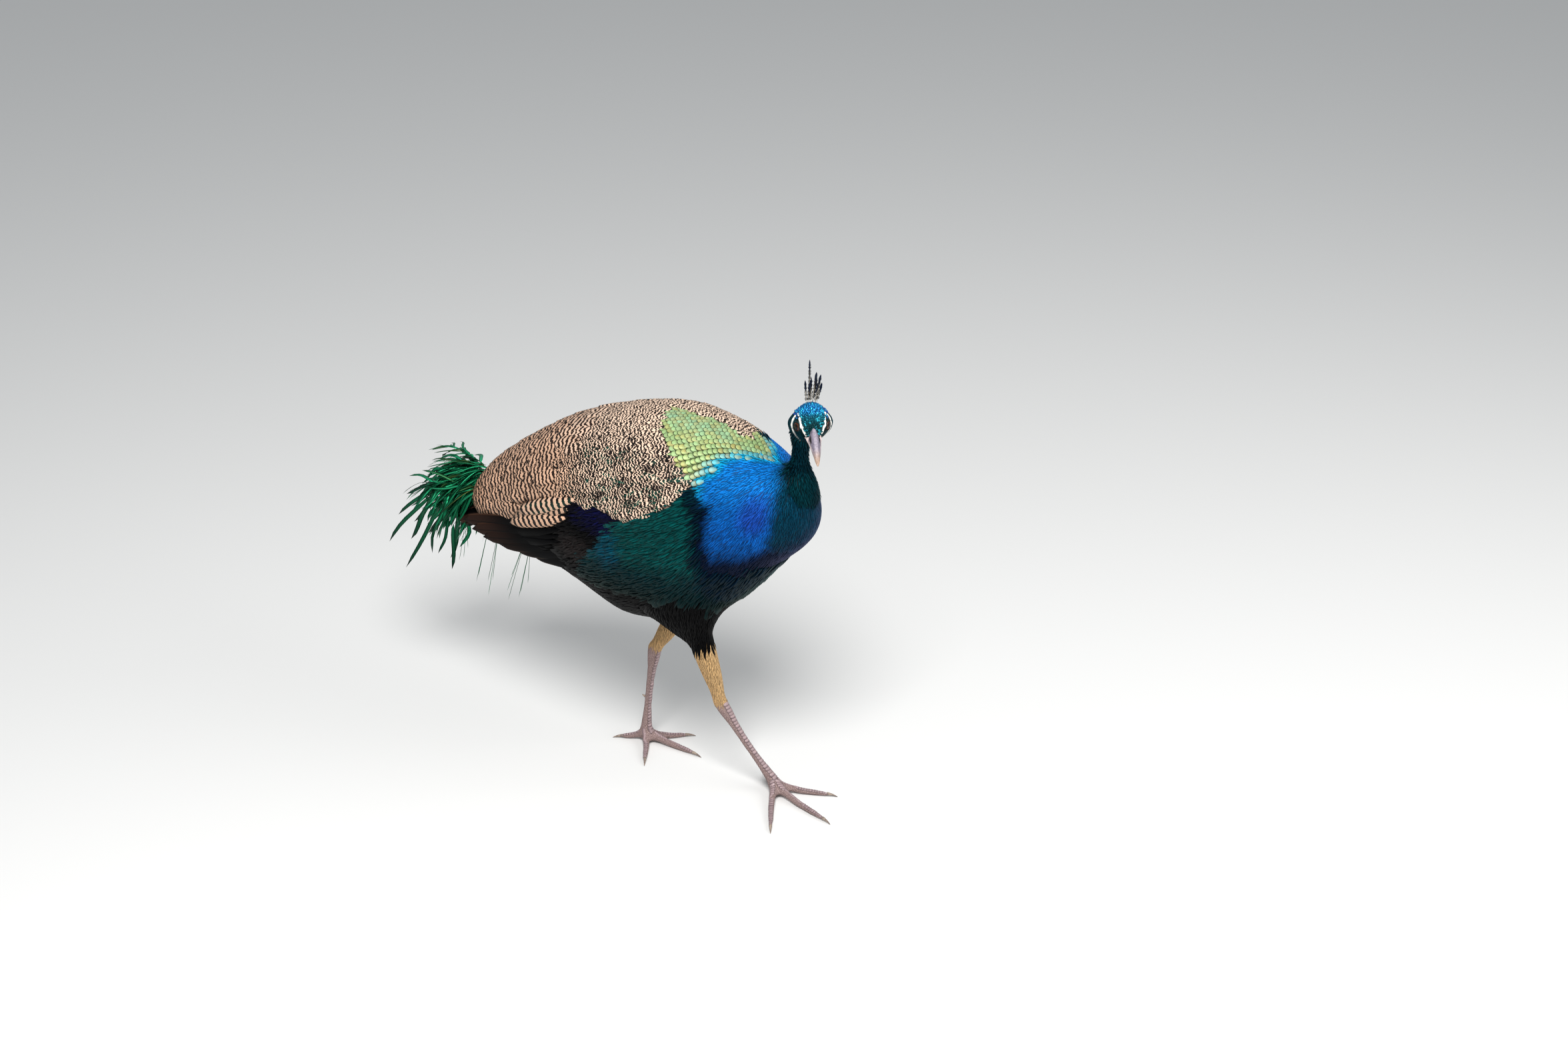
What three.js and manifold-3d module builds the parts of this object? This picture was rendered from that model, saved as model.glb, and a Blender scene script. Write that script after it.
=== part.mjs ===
// A life-size Indian peacock, still, in a walking stance: millimetres, +Z up, the bird faces -Y and its
// right side is -X. The trunk is one lofted envelope of the plumage; wings, thighs, neck and tail are cut
// against it, so neighbouring pieces keep a thin even gap. The feet stand on small flats at z = 0.
import * as THREE from "three";
import { mergeVertices } from "three/addons/utils/BufferGeometryUtils.js";
import Module from "manifold-3d";

const wasm = await Module();
wasm.setup();

// ---------------------------------------------------------------- driving dimensions, mm
const GAP = 0.3; // between neighbouring pieces
const WING_PROUD = 4; // how far a folded wing stands above the plumage round it
const WING_DEPTH = 11; // how deep a folded wing is let into the trunk
const PRIMARY_THICK = 5; // the flight feathers that show under the folded wing

// The plumage of the trunk, as heights and half widths at places along the body.
const BACK_LINE = [
  [-180, 402], [-172, 430], [-150, 455], [-120, 474], [-80, 497], [-35, 513], [15, 516],
  [65, 510], [115, 497], [165, 477], [215, 450], [265, 416], [310, 380], [340, 346], [353, 320],
];
const BELLY_LINE = [
  [-180, 402], [-174, 376], [-150, 347], [-120, 322], [-85, 277], [-40, 238], [15, 219],
  [60, 206], [95, 205], [128, 221], [165, 240], [215, 252], [265, 258], [310, 268], [340, 289], [353, 320],
];
const HALF_WIDTH = [
  [-180, 0], [-172, 30], [-150, 53], [-120, 72], [-80, 90], [-35, 102], [15, 108],
  [65, 107], [115, 102], [165, 93], [215, 80], [265, 64], [310, 47], [340, 28], [353, 0],
];
const TRUNK_RINGS = 17;
const TRUNK_SIDES = 20;
const BOXINESS = 0.92; // 1 is an ellipse, less is squarer

// The folded wing's outline, seen from the side as [y, z] and going round from the front along the lower
// edge; the rear and top lie outside the trunk. The flight feathers' outline below it goes the same way.
const WING_EDGE = [
  [-60, 436], [-20, 410], [40, 389], [92, 392], [140, 370], [200, 342], [256, 318], [310, 300],
  [352, 300], [372, 330], [372, 560], [52, 560],
];
const WING_SPLIT_Y = 118; // coverts in front, secondaries behind
const WING_SPLIT_LEAN = 0.45;
const PRIMARY_EDGE = [
  [120, 345], [200, 306], [286, 284], [300, 300], [256, 317], [200, 341], [140, 369], [88, 391],
];

// Neck: centre line and radius, from inside the breast to inside the head.
const NECK_PATH = [
  [0, -112, 400], [0, -136, 428], [0, -148, 447], [0, -148, 465], [0, -146, 484], [1, -150, 514],
];
const NECK_RADIUS = [[0, 62], [0.3, 36], [0.47, 22], [0.62, 16.5], [0.8, 13.6], [1, 15]];

// Head: its own frame looks along -Y; it is then tipped down and turned to the bird's right.
const HEAD_PLACE = [2.4, -161, 529.5];
const HEAD_TURN = -53; // degrees about the vertical
const HEAD_TIP = 12; // degrees, bill down
const HEAD_BACK = 25;
const HEAD_FRONT = -25;
const HEAD_TOP = [[-25, 1], [-22, 8], [-14, 18], [-4, 25], [6, 27], [16, 21], [22, 12], [25, 1]];
const HEAD_LOW = [[-25, 1], [-22, -11], [-14, -19], [-4, -26], [6, -31], [16, -27], [22, -15], [25, 1]];
const HEAD_HALF = [[-25, 0], [-22, 9.5], [-14, 17], [-4, 22.5], [6, 25], [16, 22], [22, 13.5], [25, 0]];
const CROWN_PINCH = 0.2; // how much narrower the crown is than the cheeks
const EYE_PLACE = [14.6, -8, 2];
const EYE_RADIUS = 7.4;
const BILL_ROOT = -16; // where the bill starts, inside the head
const BILL_LENGTH = 50;
const BILL_HALF_WIDTH = 7.8;
const BILL_TOP = [[0, 6], [0.15, 6], [0.4, 3], [0.65, -2.5], [0.85, -9.5], [1, -18]];
const BILL_GAPE = [[0, -5], [0.3, -5.4], [0.6, -7.4], [0.8, -10.4], [1, -16.8]];
const BILL_LOW = [[0, -12.5], [0.3, -12.2], [0.6, -12], [0.86, -12]];
const LOWER_BILL_SHARE = 0.84; // the lower bill's length to the upper's
const CREST_ROOT = [0, 7, 26];
const CREST_PLUMES = [
  [-6, -3, 2, 30], [-4, 1, -5, 27], [-2, 1, 3, 54], [-1, 4, 5, 33], [1, 6, -4, 41],
  [2, 8, 4, 31], [4, 9, 0, 27], [5, 12, 2, 36], [7, 11, -3, 25],
]; // each [foot across the pad, fan angle, lean back, length]
const CREST_PAD = [8.5, 8, 3.6];
const CREST_LEAN = 12; // degrees, the middle plume's
const CREST_SHAFT = 0.7;
const CREST_VANE = [2.4, 0.9, 7];

// Legs: each joint's place, and the limbs' half thicknesses.
const LEG = {
  right: {
    side: -1,
    thigh: [[-48, 15, 335], [-50, -6, 268], [-46, -28, 208]],
    thighWide: [[0, 46], [0.5, 39], [1, 15]],
    thighLong: [[0, 80], [0.5, 66], [1, 20]],
    shank: [[-47, -26, 232], [-42, -34, 190], [-33, -41, 150], [-29, -44, 124]],
    hock: [-29, -45, 121],
    foot: [-14, -117, 15],
    toes: { inner: [[-2, -150], [11, -188]], middle: [[-30, -162], [-45, -212]],
      outer: [[-55, -137], [-96, -160]], hind: [[-3, -105], [9, -93]] },
  },
  left: {
    side: 1,
    thigh: [[46, 22, 335], [42, 34, 262], [27, 54, 190]],
    thighWide: [[0, 46], [0.5, 40], [1, 15]],
    thighLong: [[0, 80], [0.5, 60], [1, 17]],
    shank: [[30, 42, 222], [24, 58, 188], [15, 72, 162], [12, 77, 152]],
    hock: [12, 78, 150],
    foot: [12, 99, 15],
    toes: { inner: [[28, 75], [47, 52]], middle: [[12, 58], [9, 17]],
      outer: [[-14, 82], [-40, 68]], hind: [[5, 116], [-3, 132]] },
  },
};
const SHANK_RADIUS = [[0, 19], [0.45, 15.5], [0.8, 11.5], [1, 10]];
const TARSUS_RADIUS = [[0, 10.5], [0.12, 9.5], [0.3, 6.6], [0.75, 6], [0.92, 8], [1, 9]];
const TOE_RADIUS = [[0, 7.5], [0.3, 5.6], [0.6, 5.4], [0.85, 4.6], [1, 3.4]];
const TOE_LIFT = 4.2; // a toe's centre line above the floor, higher at the knuckle and lower at the tip
const KNUCKLE_RISE = 0.6;
const TIP_DROP = 0.8;
const HEEL_RADIUS = 9.6;
const HEEL_SET_BACK = 3;
const HEEL_DROP = 7;
const CLAW_LENGTH = 15;
const CLAW_RADIUS = 3.1;
const CLAW_CURVE = [[-0.25, 3.6], [0.2, 3.9], [0.65, 2.8], [1, 0.5]]; // [share of the length, height]
const SPUR_RADIUS = 4.6;
const SPUR_PLACE = 0.62; // share of the way down the tarsus
const SPUR_INWARD = 0.35;
const SPUR_CURVE = [[2, 0], [9, 0.5], [15, 3]]; // [reach, rise]
const HORN_TAPER = 0.86; // share of its thickness that a claw or spur loses to its tip

// Tail and train.
const TAIL_PATH = [[0, 262, 322], [0, 315, 305], [0, 352, 290], [0, 384, 272]];
const TAIL_HALF_WIDTH = [[0, 44], [0.5, 36], [0.85, 26], [1, 14]];
const TAIL_HALF_HEIGHT = [[0, 26], [0.5, 22], [0.85, 14], [1, 4]];
const TRAIN_ROOT = [2, 340, 340];
const TRAIN_PAD = [20, 24, 30];
const TRAIN_PLUMES = 15;
const TRAIN_TOP_PITCH = 15; // degrees above the level, the highest plume
const TRAIN_FAN = 54; // degrees from the highest plume to the lowest
const TRAIN_SPREAD = 56; // degrees from side to side
const TRAIN_LENGTH = [126, 176]; // highest plume, lowest plume
const TRAIN_DROOP = [0.18, 0.42]; // share of the length that the tip falls
const TRAIN_HALF_WIDTH = 9;
const TRAIN_HALF_THICK = 1.2;
const STRANDS = [
  [-22, 352, 84], [-12, 322, 112], [-26, 300, 92], [-16, 262, 98], [-30, 246, 70],
]; // [x, y, fall]
const STRAND_TOP = 300; // a strand starts inside the plumage, no higher than this
const STRAND_DRIFT = [22, 36]; // how far back its tip is, every second one's the further
const STRAND_RADIUS = 1.1;

// ---------------------------------------------------------------- curves and solids
const vec = (p) => new THREE.Vector3(...p);
const radians = THREE.MathUtils.degToRad;
const UP = new THREE.Vector3(0, 0, 1);

// A smooth function through [place, value] pairs: a cubic between neighbours with Catmull-Rom slopes.
function through(pairs) {
  const last = pairs.length - 1;
  const slope = (i) => {
    const before = pairs[Math.max(i - 1, 0)];
    const after = pairs[Math.min(i + 1, last)];
    return (after[1] - before[1]) / (after[0] - before[0]);
  };
  return (place) => {
    let i = 0;
    while (i < last - 1 && place > pairs[i + 1][0]) i += 1;
    const width = pairs[i + 1][0] - pairs[i][0];
    const t = THREE.MathUtils.clamp((place - pairs[i][0]) / width, 0, 1);
    const rise = pairs[i + 1][1] - pairs[i][1];
    const a = slope(i) * width - rise;
    const b = rise - slope(i + 1) * width;
    return pairs[i][1] + rise * t + t * (1 - t) * (a * (1 - t) + b * t);
  };
}

// A closed mesh as a solid, turned outwards if its faces point in.
function solid(geometry) {
  geometry.deleteAttribute("normal");
  geometry.deleteAttribute("uv");
  const merged = mergeVertices(geometry, 1e-4);
  const corners = new Uint32Array(merged.index.array);
  const points = merged.attributes.position.array;
  const make = (triVerts) =>
    new wasm.Manifold(new wasm.Mesh({ numProp: 3, vertProperties: points, triVerts }));
  const first = make(corners);
  return first.volume() > 0 ? first : make(corners.slice().reverse());
}

// A stack of rings of points, closed by a point at each end, as one solid.
function stack(rings) {
  const sides = rings[0].length;
  const points = [];
  const faces = [];
  const middle = (ring) => ring.reduce((sum, p) => sum.add(p), new THREE.Vector3()).divideScalar(sides);
  rings.forEach((ring) => ring.forEach((p) => points.push(p.x, p.y, p.z)));
  for (const end of [rings[0], rings[rings.length - 1]]) {
    const centre = middle(end);
    points.push(centre.x, centre.y, centre.z);
  }
  const base = rings.length * sides;
  for (let k = 0; k < sides; k += 1) {
    const next = (k + 1) % sides;
    faces.push(base, next, k);
    for (let r = 0; r < rings.length - 1; r += 1) {
      const low = r * sides;
      const high = low + sides;
      faces.push(low + k, low + next, high + next, low + k, high + next, high + k);
    }
    faces.push(base + 1, base - sides + k, base - sides + next);
  }
  const geometry = new THREE.BufferGeometry();
  geometry.setAttribute("position", new THREE.Float32BufferAttribute(points, 3));
  geometry.setIndex(faces);
  return solid(geometry);
}

// One rounded section in the X-Z plane at a place along Y; a pinch narrows its upper half.
function section(y, half, centre, rise, sides, boxiness, pinch) {
  const bend = (v) => Math.sign(v) * Math.abs(v) ** boxiness;
  return Array.from({ length: sides }, (_, k) => {
    const angle = (2 * Math.PI * k) / sides;
    const wide = half * (1 - pinch * Math.max(Math.sin(angle), 0));
    return new THREE.Vector3(wide * bend(Math.cos(angle)), y, centre + rise * bend(Math.sin(angle)));
  });
}

// A half size grown by a distance; one shrunk past nothing keeps a sliver of itself, so that it stays closed.
const grown = (size, grow) => Math.max(size + grow, 0.1 * size * (1 + grow / 100));

// A body lofted along Y between two places, its ends rounded by the spacing of the sections.
function bodyAlongY(from, to, topAt, lowAt, halfAt, rings, sides, boxiness, pinch, grow) {
  const stackOf = [];
  for (let r = 0; r < rings; r += 1) {
    const share = (1 - Math.cos((Math.PI * (r + 0.4)) / (rings - 0.2))) / 2;
    const place = from + (to - from) * share;
    const centre = (topAt(place) + lowAt(place)) / 2;
    const rise = grown((topAt(place) - lowAt(place)) / 2, grow);
    const y = place + (share - 0.5) * 2 * grow;
    stackOf.push(section(y, grown(halfAt(place), grow), centre, rise, sides, boxiness, pinch));
  }
  return stack(stackOf);
}

// A limb: elliptical rings across a smooth path, thickness given by two functions of the way along it.
function limb(path, wideAt, deepAt, steps, sides, grow = 0, across = new THREE.Vector3(1, 0, 0)) {
  const curve = new THREE.CatmullRomCurve3(path.map(vec), false, "centripetal");
  const rings = [];
  for (let r = 0; r <= steps; r += 1) {
    const share = r / steps;
    const centre = curve.getPoint(share);
    const along = curve.getTangent(share);
    const side = across.clone().addScaledVector(along, -across.dot(along)).normalize();
    const up = along.clone().cross(side);
    const end = r === 0 ? -grow : r === steps ? grow : 0;
    centre.addScaledVector(along, end);
    rings.push(Array.from({ length: sides }, (_, k) => {
      const angle = (2 * Math.PI * k) / sides;
      return centre.clone()
        .addScaledVector(side, (wideAt(share) + grow) * Math.cos(angle))
        .addScaledVector(up, (deepAt(share) + grow) * Math.sin(angle));
    }));
  }
  return stack(rings);
}

const join = (...solids) => solids.reduce((all, one) => all.add(one));
const cutBy = (first, ...others) => others.reduce((left, one) => left.subtract(one), first);

// A side outline [y, z] carried through X from one place to another.
function sidePrism(outline, fromX, toX) {
  const shape = new THREE.Shape(outline.map(([y, z]) => new THREE.Vector2(y, z)));
  const geometry = new THREE.ExtrudeGeometry(shape, { depth: toX - fromX, bevelEnabled: false });
  const turn = new THREE.Matrix4().makeBasis(
    new THREE.Vector3(0, 1, 0), new THREE.Vector3(0, 0, 1), new THREE.Vector3(1, 0, 0));
  turn.setPosition(fromX, 0, 0);
  return solid(geometry.applyMatrix4(turn));
}

// An outline moved out by a small distance, corner by corner.
function widened(outline, by) {
  const count = outline.length;
  return outline.map(([y, z], i) => {
    const [ya, za] = outline[(i + count - 1) % count];
    const [yb, zb] = outline[(i + 1) % count];
    const length = Math.hypot(yb - ya, zb - za);
    return [y + (by * (zb - za)) / length, z - (by * (yb - ya)) / length];
  });
}

// ---------------------------------------------------------------- the nodes
const bird = new THREE.Group();
const COLOURS = {
  breast: [0x0b3f9a, 0.45, 0.2], dark: [0x0c1a22, 0.7, 0], barred: [0xb9a184, 0.75, 0],
  brown: [0x4a3526, 0.75, 0], crown: [0x0d5f88, 0.4, 0.3], green: [0x0f7a4c, 0.45, 0.3],
  tan: [0xb08a5c, 0.8, 0], leg: [0x8d7b74, 0.6, 0], horn: [0x9b918f, 0.45, 0], eye: [0x1c0f0a, 0.05, 0],
};

function node(name, shape, finish) {
  const mesh = shape.getMesh();
  const geometry = new THREE.BufferGeometry();
  geometry.setAttribute("position", new THREE.BufferAttribute(mesh.vertProperties, 3));
  geometry.setIndex(new THREE.BufferAttribute(mesh.triVerts, 1));
  const [color, roughness, metalness] = COLOURS[finish];
  const made = new THREE.Mesh(geometry, new THREE.MeshStandardMaterial({ color, roughness, metalness }));
  made.name = name;
  bird.add(made);
}

// ---------------------------------------------------------------- trunk and wings
const backAt = through(BACK_LINE);
const bellyAt = through(BELLY_LINE);
const halfAt = through(HALF_WIDTH);
const trunkFrom = BACK_LINE[0][0];
const trunkTo = BACK_LINE[BACK_LINE.length - 1][0];
const plumage = (grow) =>
  bodyAlongY(trunkFrom, trunkTo, backAt, bellyAt, halfAt, TRUNK_RINGS, TRUNK_SIDES, BOXINESS, 0, grow);

const FAR_X = 160;
const MID_GAP = 0.6; // each wing's edge from the middle of the back
const sideSpan = (side, inner) => (side < 0 ? [-FAR_X, -inner] : [inner, FAR_X]);
const wingBlock = (side, grow) => sidePrism(widened(WING_EDGE, grow), ...sideSpan(side, MID_GAP - grow));
const primaryBlock = (side, grow) =>
  sidePrism(widened(PRIMARY_EDGE, grow), ...sideSpan(side, MID_GAP - grow));
const wingOuter = plumage(WING_PROUD);
const wingInner = plumage(-WING_DEPTH);
const primaryInner = plumage(-PRIMARY_THICK);
const splitNormal = new THREE.Vector3(0, 1, WING_SPLIT_LEAN).normalize();
const splitAt = splitNormal.dot(new THREE.Vector3(0, WING_SPLIT_Y, 400));

for (const side of [-1, 1]) {
  const hand = side < 0 ? "right" : "left";
  const wing = cutBy(wingOuter.intersect(wingBlock(side, 0)), wingInner);
  const normal = splitNormal.toArray();
  node(`wing_coverts_${hand}`, wing.trimByPlane(normal.map((n) => -n), GAP / 2 - splitAt), "barred");
  node(`secondaries_${hand}`, wing.trimByPlane(normal, splitAt + GAP / 2), "barred");
  const primaries = cutBy(plumage(0).intersect(primaryBlock(side, 0)), primaryInner, wingBlock(side, GAP));
  node(`primaries_${hand}`, primaries, "brown");
}
const wingHollow = (side) => cutBy(wingBlock(side, GAP), plumage(-WING_DEPTH - GAP));
const primaryHollow = (side) => cutBy(primaryBlock(side, GAP), plumage(-PRIMARY_THICK - GAP));
const trunk = cutBy(plumage(0), wingHollow(-1), wingHollow(1), primaryHollow(-1), primaryHollow(1));
node("trunk", trunk, "breast");

// ---------------------------------------------------------------- neck and head
const neckRadius = through(NECK_RADIUS);
const neckShape = limb(NECK_PATH, neckRadius, neckRadius, 8, 14);
const headFrame = new THREE.Matrix4().makeTranslation(...HEAD_PLACE)
  .multiply(new THREE.Matrix4().makeRotationZ(radians(HEAD_TURN)))
  .multiply(new THREE.Matrix4().makeRotationX(radians(HEAD_TIP)));
const placeHead = (shape) => shape.transform(headFrame.toArray());
const headShape = (grow) => bodyAlongY(HEAD_FRONT, HEAD_BACK, through(HEAD_TOP), through(HEAD_LOW),
  through(HEAD_HALF), 11, 16, 1, CROWN_PINCH, grow);
const eyeShape = (side, grow) => solid(new THREE.SphereGeometry(EYE_RADIUS + grow, 10, 7)
  .translate(side * EYE_PLACE[0], EYE_PLACE[1], EYE_PLACE[2]));
const headOuter = headShape(GAP);

node("neck", cutBy(neckShape, plumage(GAP), placeHead(headOuter)), "breast");
for (const side of [-1, 1]) node(`eye_${side < 0 ? "right" : "left"}`, placeHead(eyeShape(side, 0)), "eye");

const billTop = through(BILL_TOP);
const billGape = through(BILL_GAPE);
const billLow = through(BILL_LOW);
const billWide = (share) => BILL_HALF_WIDTH * Math.sqrt(Math.max(1 - share ** 1.6, 0.004));

// Half of the bill: rounded on the side away from the gape, flat along it.
function billHalf(reach, outerAt, sign, grow) {
  const rings = [];
  const steps = 7;
  const arc = 6;
  for (let r = 0; r <= steps; r += 1) {
    const share = (reach * r) / steps;
    const wide = billWide(share / (reach === 1 ? 1 : reach * 1.04)) + grow;
    const gape = billGape(share) + (sign * GAP) / 2 - sign * grow;
    const height = Math.max(Math.abs(outerAt(share) - billGape(share)), 0.5) + grow;
    rings.push(Array.from({ length: arc + 1 }, (_, k) => {
      const angle = (Math.PI * k) / arc;
      return new THREE.Vector3(wide * Math.cos(angle), BILL_ROOT - BILL_LENGTH * share,
        gape + sign * height * Math.sin(angle));
    }));
  }
  return stack(rings);
}
const upperBill = (grow) => billHalf(1, billTop, 1, grow);
const lowerBill = (grow) => billHalf(LOWER_BILL_SHARE, billLow, -1, grow);
node("bill_upper", placeHead(cutBy(upperBill(0), headOuter)), "horn");
node("bill_lower", placeHead(cutBy(lowerBill(0), headOuter)), "horn");
node("head", placeHead(cutBy(headShape(0), eyeShape(-1, GAP), eyeShape(1, GAP))), "crown");

// The crest: a low pad on the crown with bare shafts, each ending in a spoon-shaped vane.
const crestPad = solid(new THREE.SphereGeometry(1, 10, 6).scale(...CREST_PAD).translate(...CREST_ROOT));
const crestPlume = ([foot, fan, lean, length], i) => {
  const rise = new THREE.Vector3(Math.sin(radians(fan)), Math.sin(radians(lean + CREST_LEAN)), 1);
  rise.normalize();
  const start = vec(CREST_ROOT).add(new THREE.Vector3(foot, (i % 3) * 2 - 2, -1));
  const shaft = limb([start.toArray(), start.clone().addScaledVector(rise, length * 0.9).toArray()],
    () => CREST_SHAFT, () => CREST_SHAFT, 1, 3);
  const vane = new THREE.SphereGeometry(1, 6, 4).scale(...CREST_VANE)
    .applyQuaternion(new THREE.Quaternion().setFromUnitVectors(UP, rise));
  const top = start.clone().addScaledVector(rise, length - CREST_VANE[2]);
  return join(shaft, solid(vane.translate(top.x, top.y, top.z)));
};
const crestShape = join(crestPad, ...CREST_PLUMES.map(crestPlume));
node("crest", placeHead(cutBy(crestShape, headOuter)), "crown");

// ---------------------------------------------------------------- legs and feet
const shankAt = through(SHANK_RADIUS);
const tarsusAt = through(TARSUS_RADIUS);
const toeAt = through(TOE_RADIUS);
const floorCut = (shape) => shape.trimByPlane(UP.toArray(), 0);
const tapering = (radius) => (share) => radius * (1 - HORN_TAPER * share);

for (const [hand, leg] of Object.entries(LEG)) {
  const thighShape = (grow) =>
    limb(leg.thigh, through(leg.thighWide), through(leg.thighLong), 6, 14, grow);
  const shankShape = (grow) => limb(leg.shank, shankAt, shankAt, 4, 10, grow);
  const [hx, hy, hz] = leg.hock;
  const [fx, fy, fz] = leg.foot;
  const bow = [(hx + fx) / 2, (hy + fy) / 2 + 3, (hz + fz) / 2];
  const tarsusShape = (grow) => limb([[hx, hy + 2, hz + 4], bow, leg.foot], tarsusAt, tarsusAt, 7, 8, grow);
  node(`thigh_${hand}`, cutBy(thighShape(0), plumage(GAP)), "dark");
  node(`shank_${hand}`, cutBy(shankShape(0), thighShape(GAP), plumage(GAP)), "tan");
  node(`tarsus_${hand}`, cutBy(tarsusShape(0), shankShape(GAP)), "leg");

  // Toes run out from the foot's ball, each with its claw; the undersides are cut flat at the floor.
  const toeShape = (toe, grow) => {
    const [[kx, ky], [tx, ty]] = toe;
    const path = [[fx, fy, fz - 4], [kx, ky, TOE_LIFT + KNUCKLE_RISE], [tx, ty, TOE_LIFT - TIP_DROP]];
    return limb(path, toeAt, toeAt, 4, 6, grow, UP);
  };
  const toes = Object.values(leg.toes);
  const heel = solid(new THREE.SphereGeometry(HEEL_RADIUS, 8, 5)
    .translate(fx, fy - HEEL_SET_BACK, fz - HEEL_DROP));
  const foot = floorCut(join(heel, ...toes.map((toe) => toeShape(toe, 0))));
  node(`foot_${hand}`, cutBy(foot, tarsusShape(GAP)), "leg");
  for (const [toeName, toe] of Object.entries(leg.toes)) {
    const tip = new THREE.Vector3(...toe[1], TOE_LIFT - TIP_DROP);
    const way = new THREE.Vector3(toe[1][0] - toe[0][0], toe[1][1] - toe[0][1], 0).normalize();
    const clawPath = CLAW_CURVE.map(([share, z]) =>
      tip.clone().addScaledVector(way, CLAW_LENGTH * share).setZ(z).toArray());
    const clawAt = tapering(CLAW_RADIUS);
    const claw = limb(clawPath, clawAt, clawAt, 3, 6, 0, UP);
    node(`claw_${hand}_${toeName}`, floorCut(cutBy(claw, toeShape(toe, GAP))), "horn");
  }
  const along = new THREE.Vector3(fx - hx, fy - hy, fz - hz);
  const spurRoot = new THREE.Vector3(hx, hy, hz).addScaledVector(along, SPUR_PLACE);
  const back = new THREE.Vector3(-leg.side * SPUR_INWARD, 1, 0.12).normalize();
  const spurPath = SPUR_CURVE.map(([reach, lift]) =>
    spurRoot.clone().addScaledVector(back, reach).add(new THREE.Vector3(0, 0, lift)).toArray());
  const spurWide = tapering(SPUR_RADIUS);
  const spur = limb(spurPath, spurWide, spurWide, 3, 6, 0, UP);
  node(`spur_${hand}`, cutBy(spur, tarsusShape(GAP)), "horn");
}

// ---------------------------------------------------------------- tail and train
const tailShape = (grow) => limb(TAIL_PATH, through(TAIL_HALF_WIDTH), through(TAIL_HALF_HEIGHT), 5, 12, grow);
node("tail", cutBy(tailShape(0), plumage(WING_PROUD + GAP)), "brown");

// Loose plumes fan out of the rump: the upper ones level and shorter, the lower ones longer and hanging.
const root = vec(TRAIN_ROOT);
const between = ([from, to], share) => from + (to - from) * share;
const trainPlume = (i) => {
  const share = i / (TRAIN_PLUMES - 1);
  const pitch = radians(TRAIN_TOP_PITCH - TRAIN_FAN * share);
  const swing = radians((((i * 7) % TRAIN_PLUMES) / (TRAIN_PLUMES - 1) - 0.5) * TRAIN_SPREAD);
  const length = between(TRAIN_LENGTH, share) * (0.9 + 0.12 * Math.sin(2.1 * i + 0.4));
  const droop = length * between(TRAIN_DROOP, share);
  const out = new THREE.Vector3(Math.sin(swing), Math.cos(swing) * Math.cos(pitch), Math.sin(pitch));
  const at = (t) => root.clone().addScaledVector(out, length * t)
    .add(new THREE.Vector3(0, 0, -droop * t * t)).toArray();
  const wide = (t) => TRAIN_HALF_WIDTH * (0.35 + 0.75 * t) * Math.sqrt(Math.max(1 - t ** 3, 0.02));
  return limb([at(0), at(0.35), at(0.7), at(1)], wide, () => TRAIN_HALF_THICK, 4, 4);
};
const plumes = Array.from({ length: TRAIN_PLUMES }, (_, i) => trainPlume(i));
const trainPad = solid(new THREE.SphereGeometry(1, 9, 7).scale(...TRAIN_PAD).translate(...TRAIN_ROOT));
node("train", cutBy(join(trainPad, ...plumes), plumage(WING_PROUD + GAP), tailShape(GAP)), "green");

// Single loose strands hang from under the rump.
STRANDS.forEach(([x, y, fall], i) => {
  const top = Math.min(bellyAt(y) + 8, STRAND_TOP);
  const at = (t) => [x + 5 * Math.sin(3 * t + i), y + STRAND_DRIFT[i % 2] * t, top - fall * t];
  const strand = limb([at(0), at(0.35), at(0.7), at(1)], () => STRAND_RADIUS, () => STRAND_RADIUS, 4, 4);
  node(`strand_${i + 1}`, cutBy(strand, plumage(GAP), tailShape(GAP)), "green");
});

// The part's origin is under the middle of its box, on the floor.
const box = new THREE.Box3().setFromObject(bird);
const centre = box.getCenter(new THREE.Vector3());
bird.position.set(-centre.x, -centre.y, -box.min.z);
const part = new THREE.Group();
part.add(bird);

export default part;
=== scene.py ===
# %% [markdown]
# # A life-size peacock, as a museum mount
# The bird is built over a packed set of plain solids that fix its size and its stance. One skin is wrapped
# inside those solids, and the plumage is laid over that skin as thousands of small closed vanes. Every vane
# asks the skin where it is, which way the plumage lies there and what colour it has, so the skin and its
# coat always agree. The horn, the eyes and the plates of the legs are separate pieces.

# %% Load the solids and keep their box
import math
import bmesh
import bpy
import numpy as np
from mathutils import Matrix, Vector
from mathutils.bvhtree import BVHTree
from mathutils.kdtree import KDTree


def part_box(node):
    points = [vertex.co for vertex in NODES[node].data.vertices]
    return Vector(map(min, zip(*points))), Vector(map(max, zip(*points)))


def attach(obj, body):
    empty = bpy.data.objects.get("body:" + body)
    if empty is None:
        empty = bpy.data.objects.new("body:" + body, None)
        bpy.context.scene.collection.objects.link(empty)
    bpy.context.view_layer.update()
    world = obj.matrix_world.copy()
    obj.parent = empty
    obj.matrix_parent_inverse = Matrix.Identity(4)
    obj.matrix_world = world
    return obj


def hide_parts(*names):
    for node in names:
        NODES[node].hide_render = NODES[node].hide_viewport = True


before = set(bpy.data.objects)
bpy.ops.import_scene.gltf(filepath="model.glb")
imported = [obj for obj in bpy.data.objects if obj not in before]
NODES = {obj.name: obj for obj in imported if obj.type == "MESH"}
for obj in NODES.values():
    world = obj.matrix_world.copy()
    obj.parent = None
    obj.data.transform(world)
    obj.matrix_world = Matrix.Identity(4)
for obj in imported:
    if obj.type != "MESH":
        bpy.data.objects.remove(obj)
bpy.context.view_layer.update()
mm = 0.001
SIDES = {"right": -1, "left": 1}
TINY = 1e-9
print("solids:", len(NODES))

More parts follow.
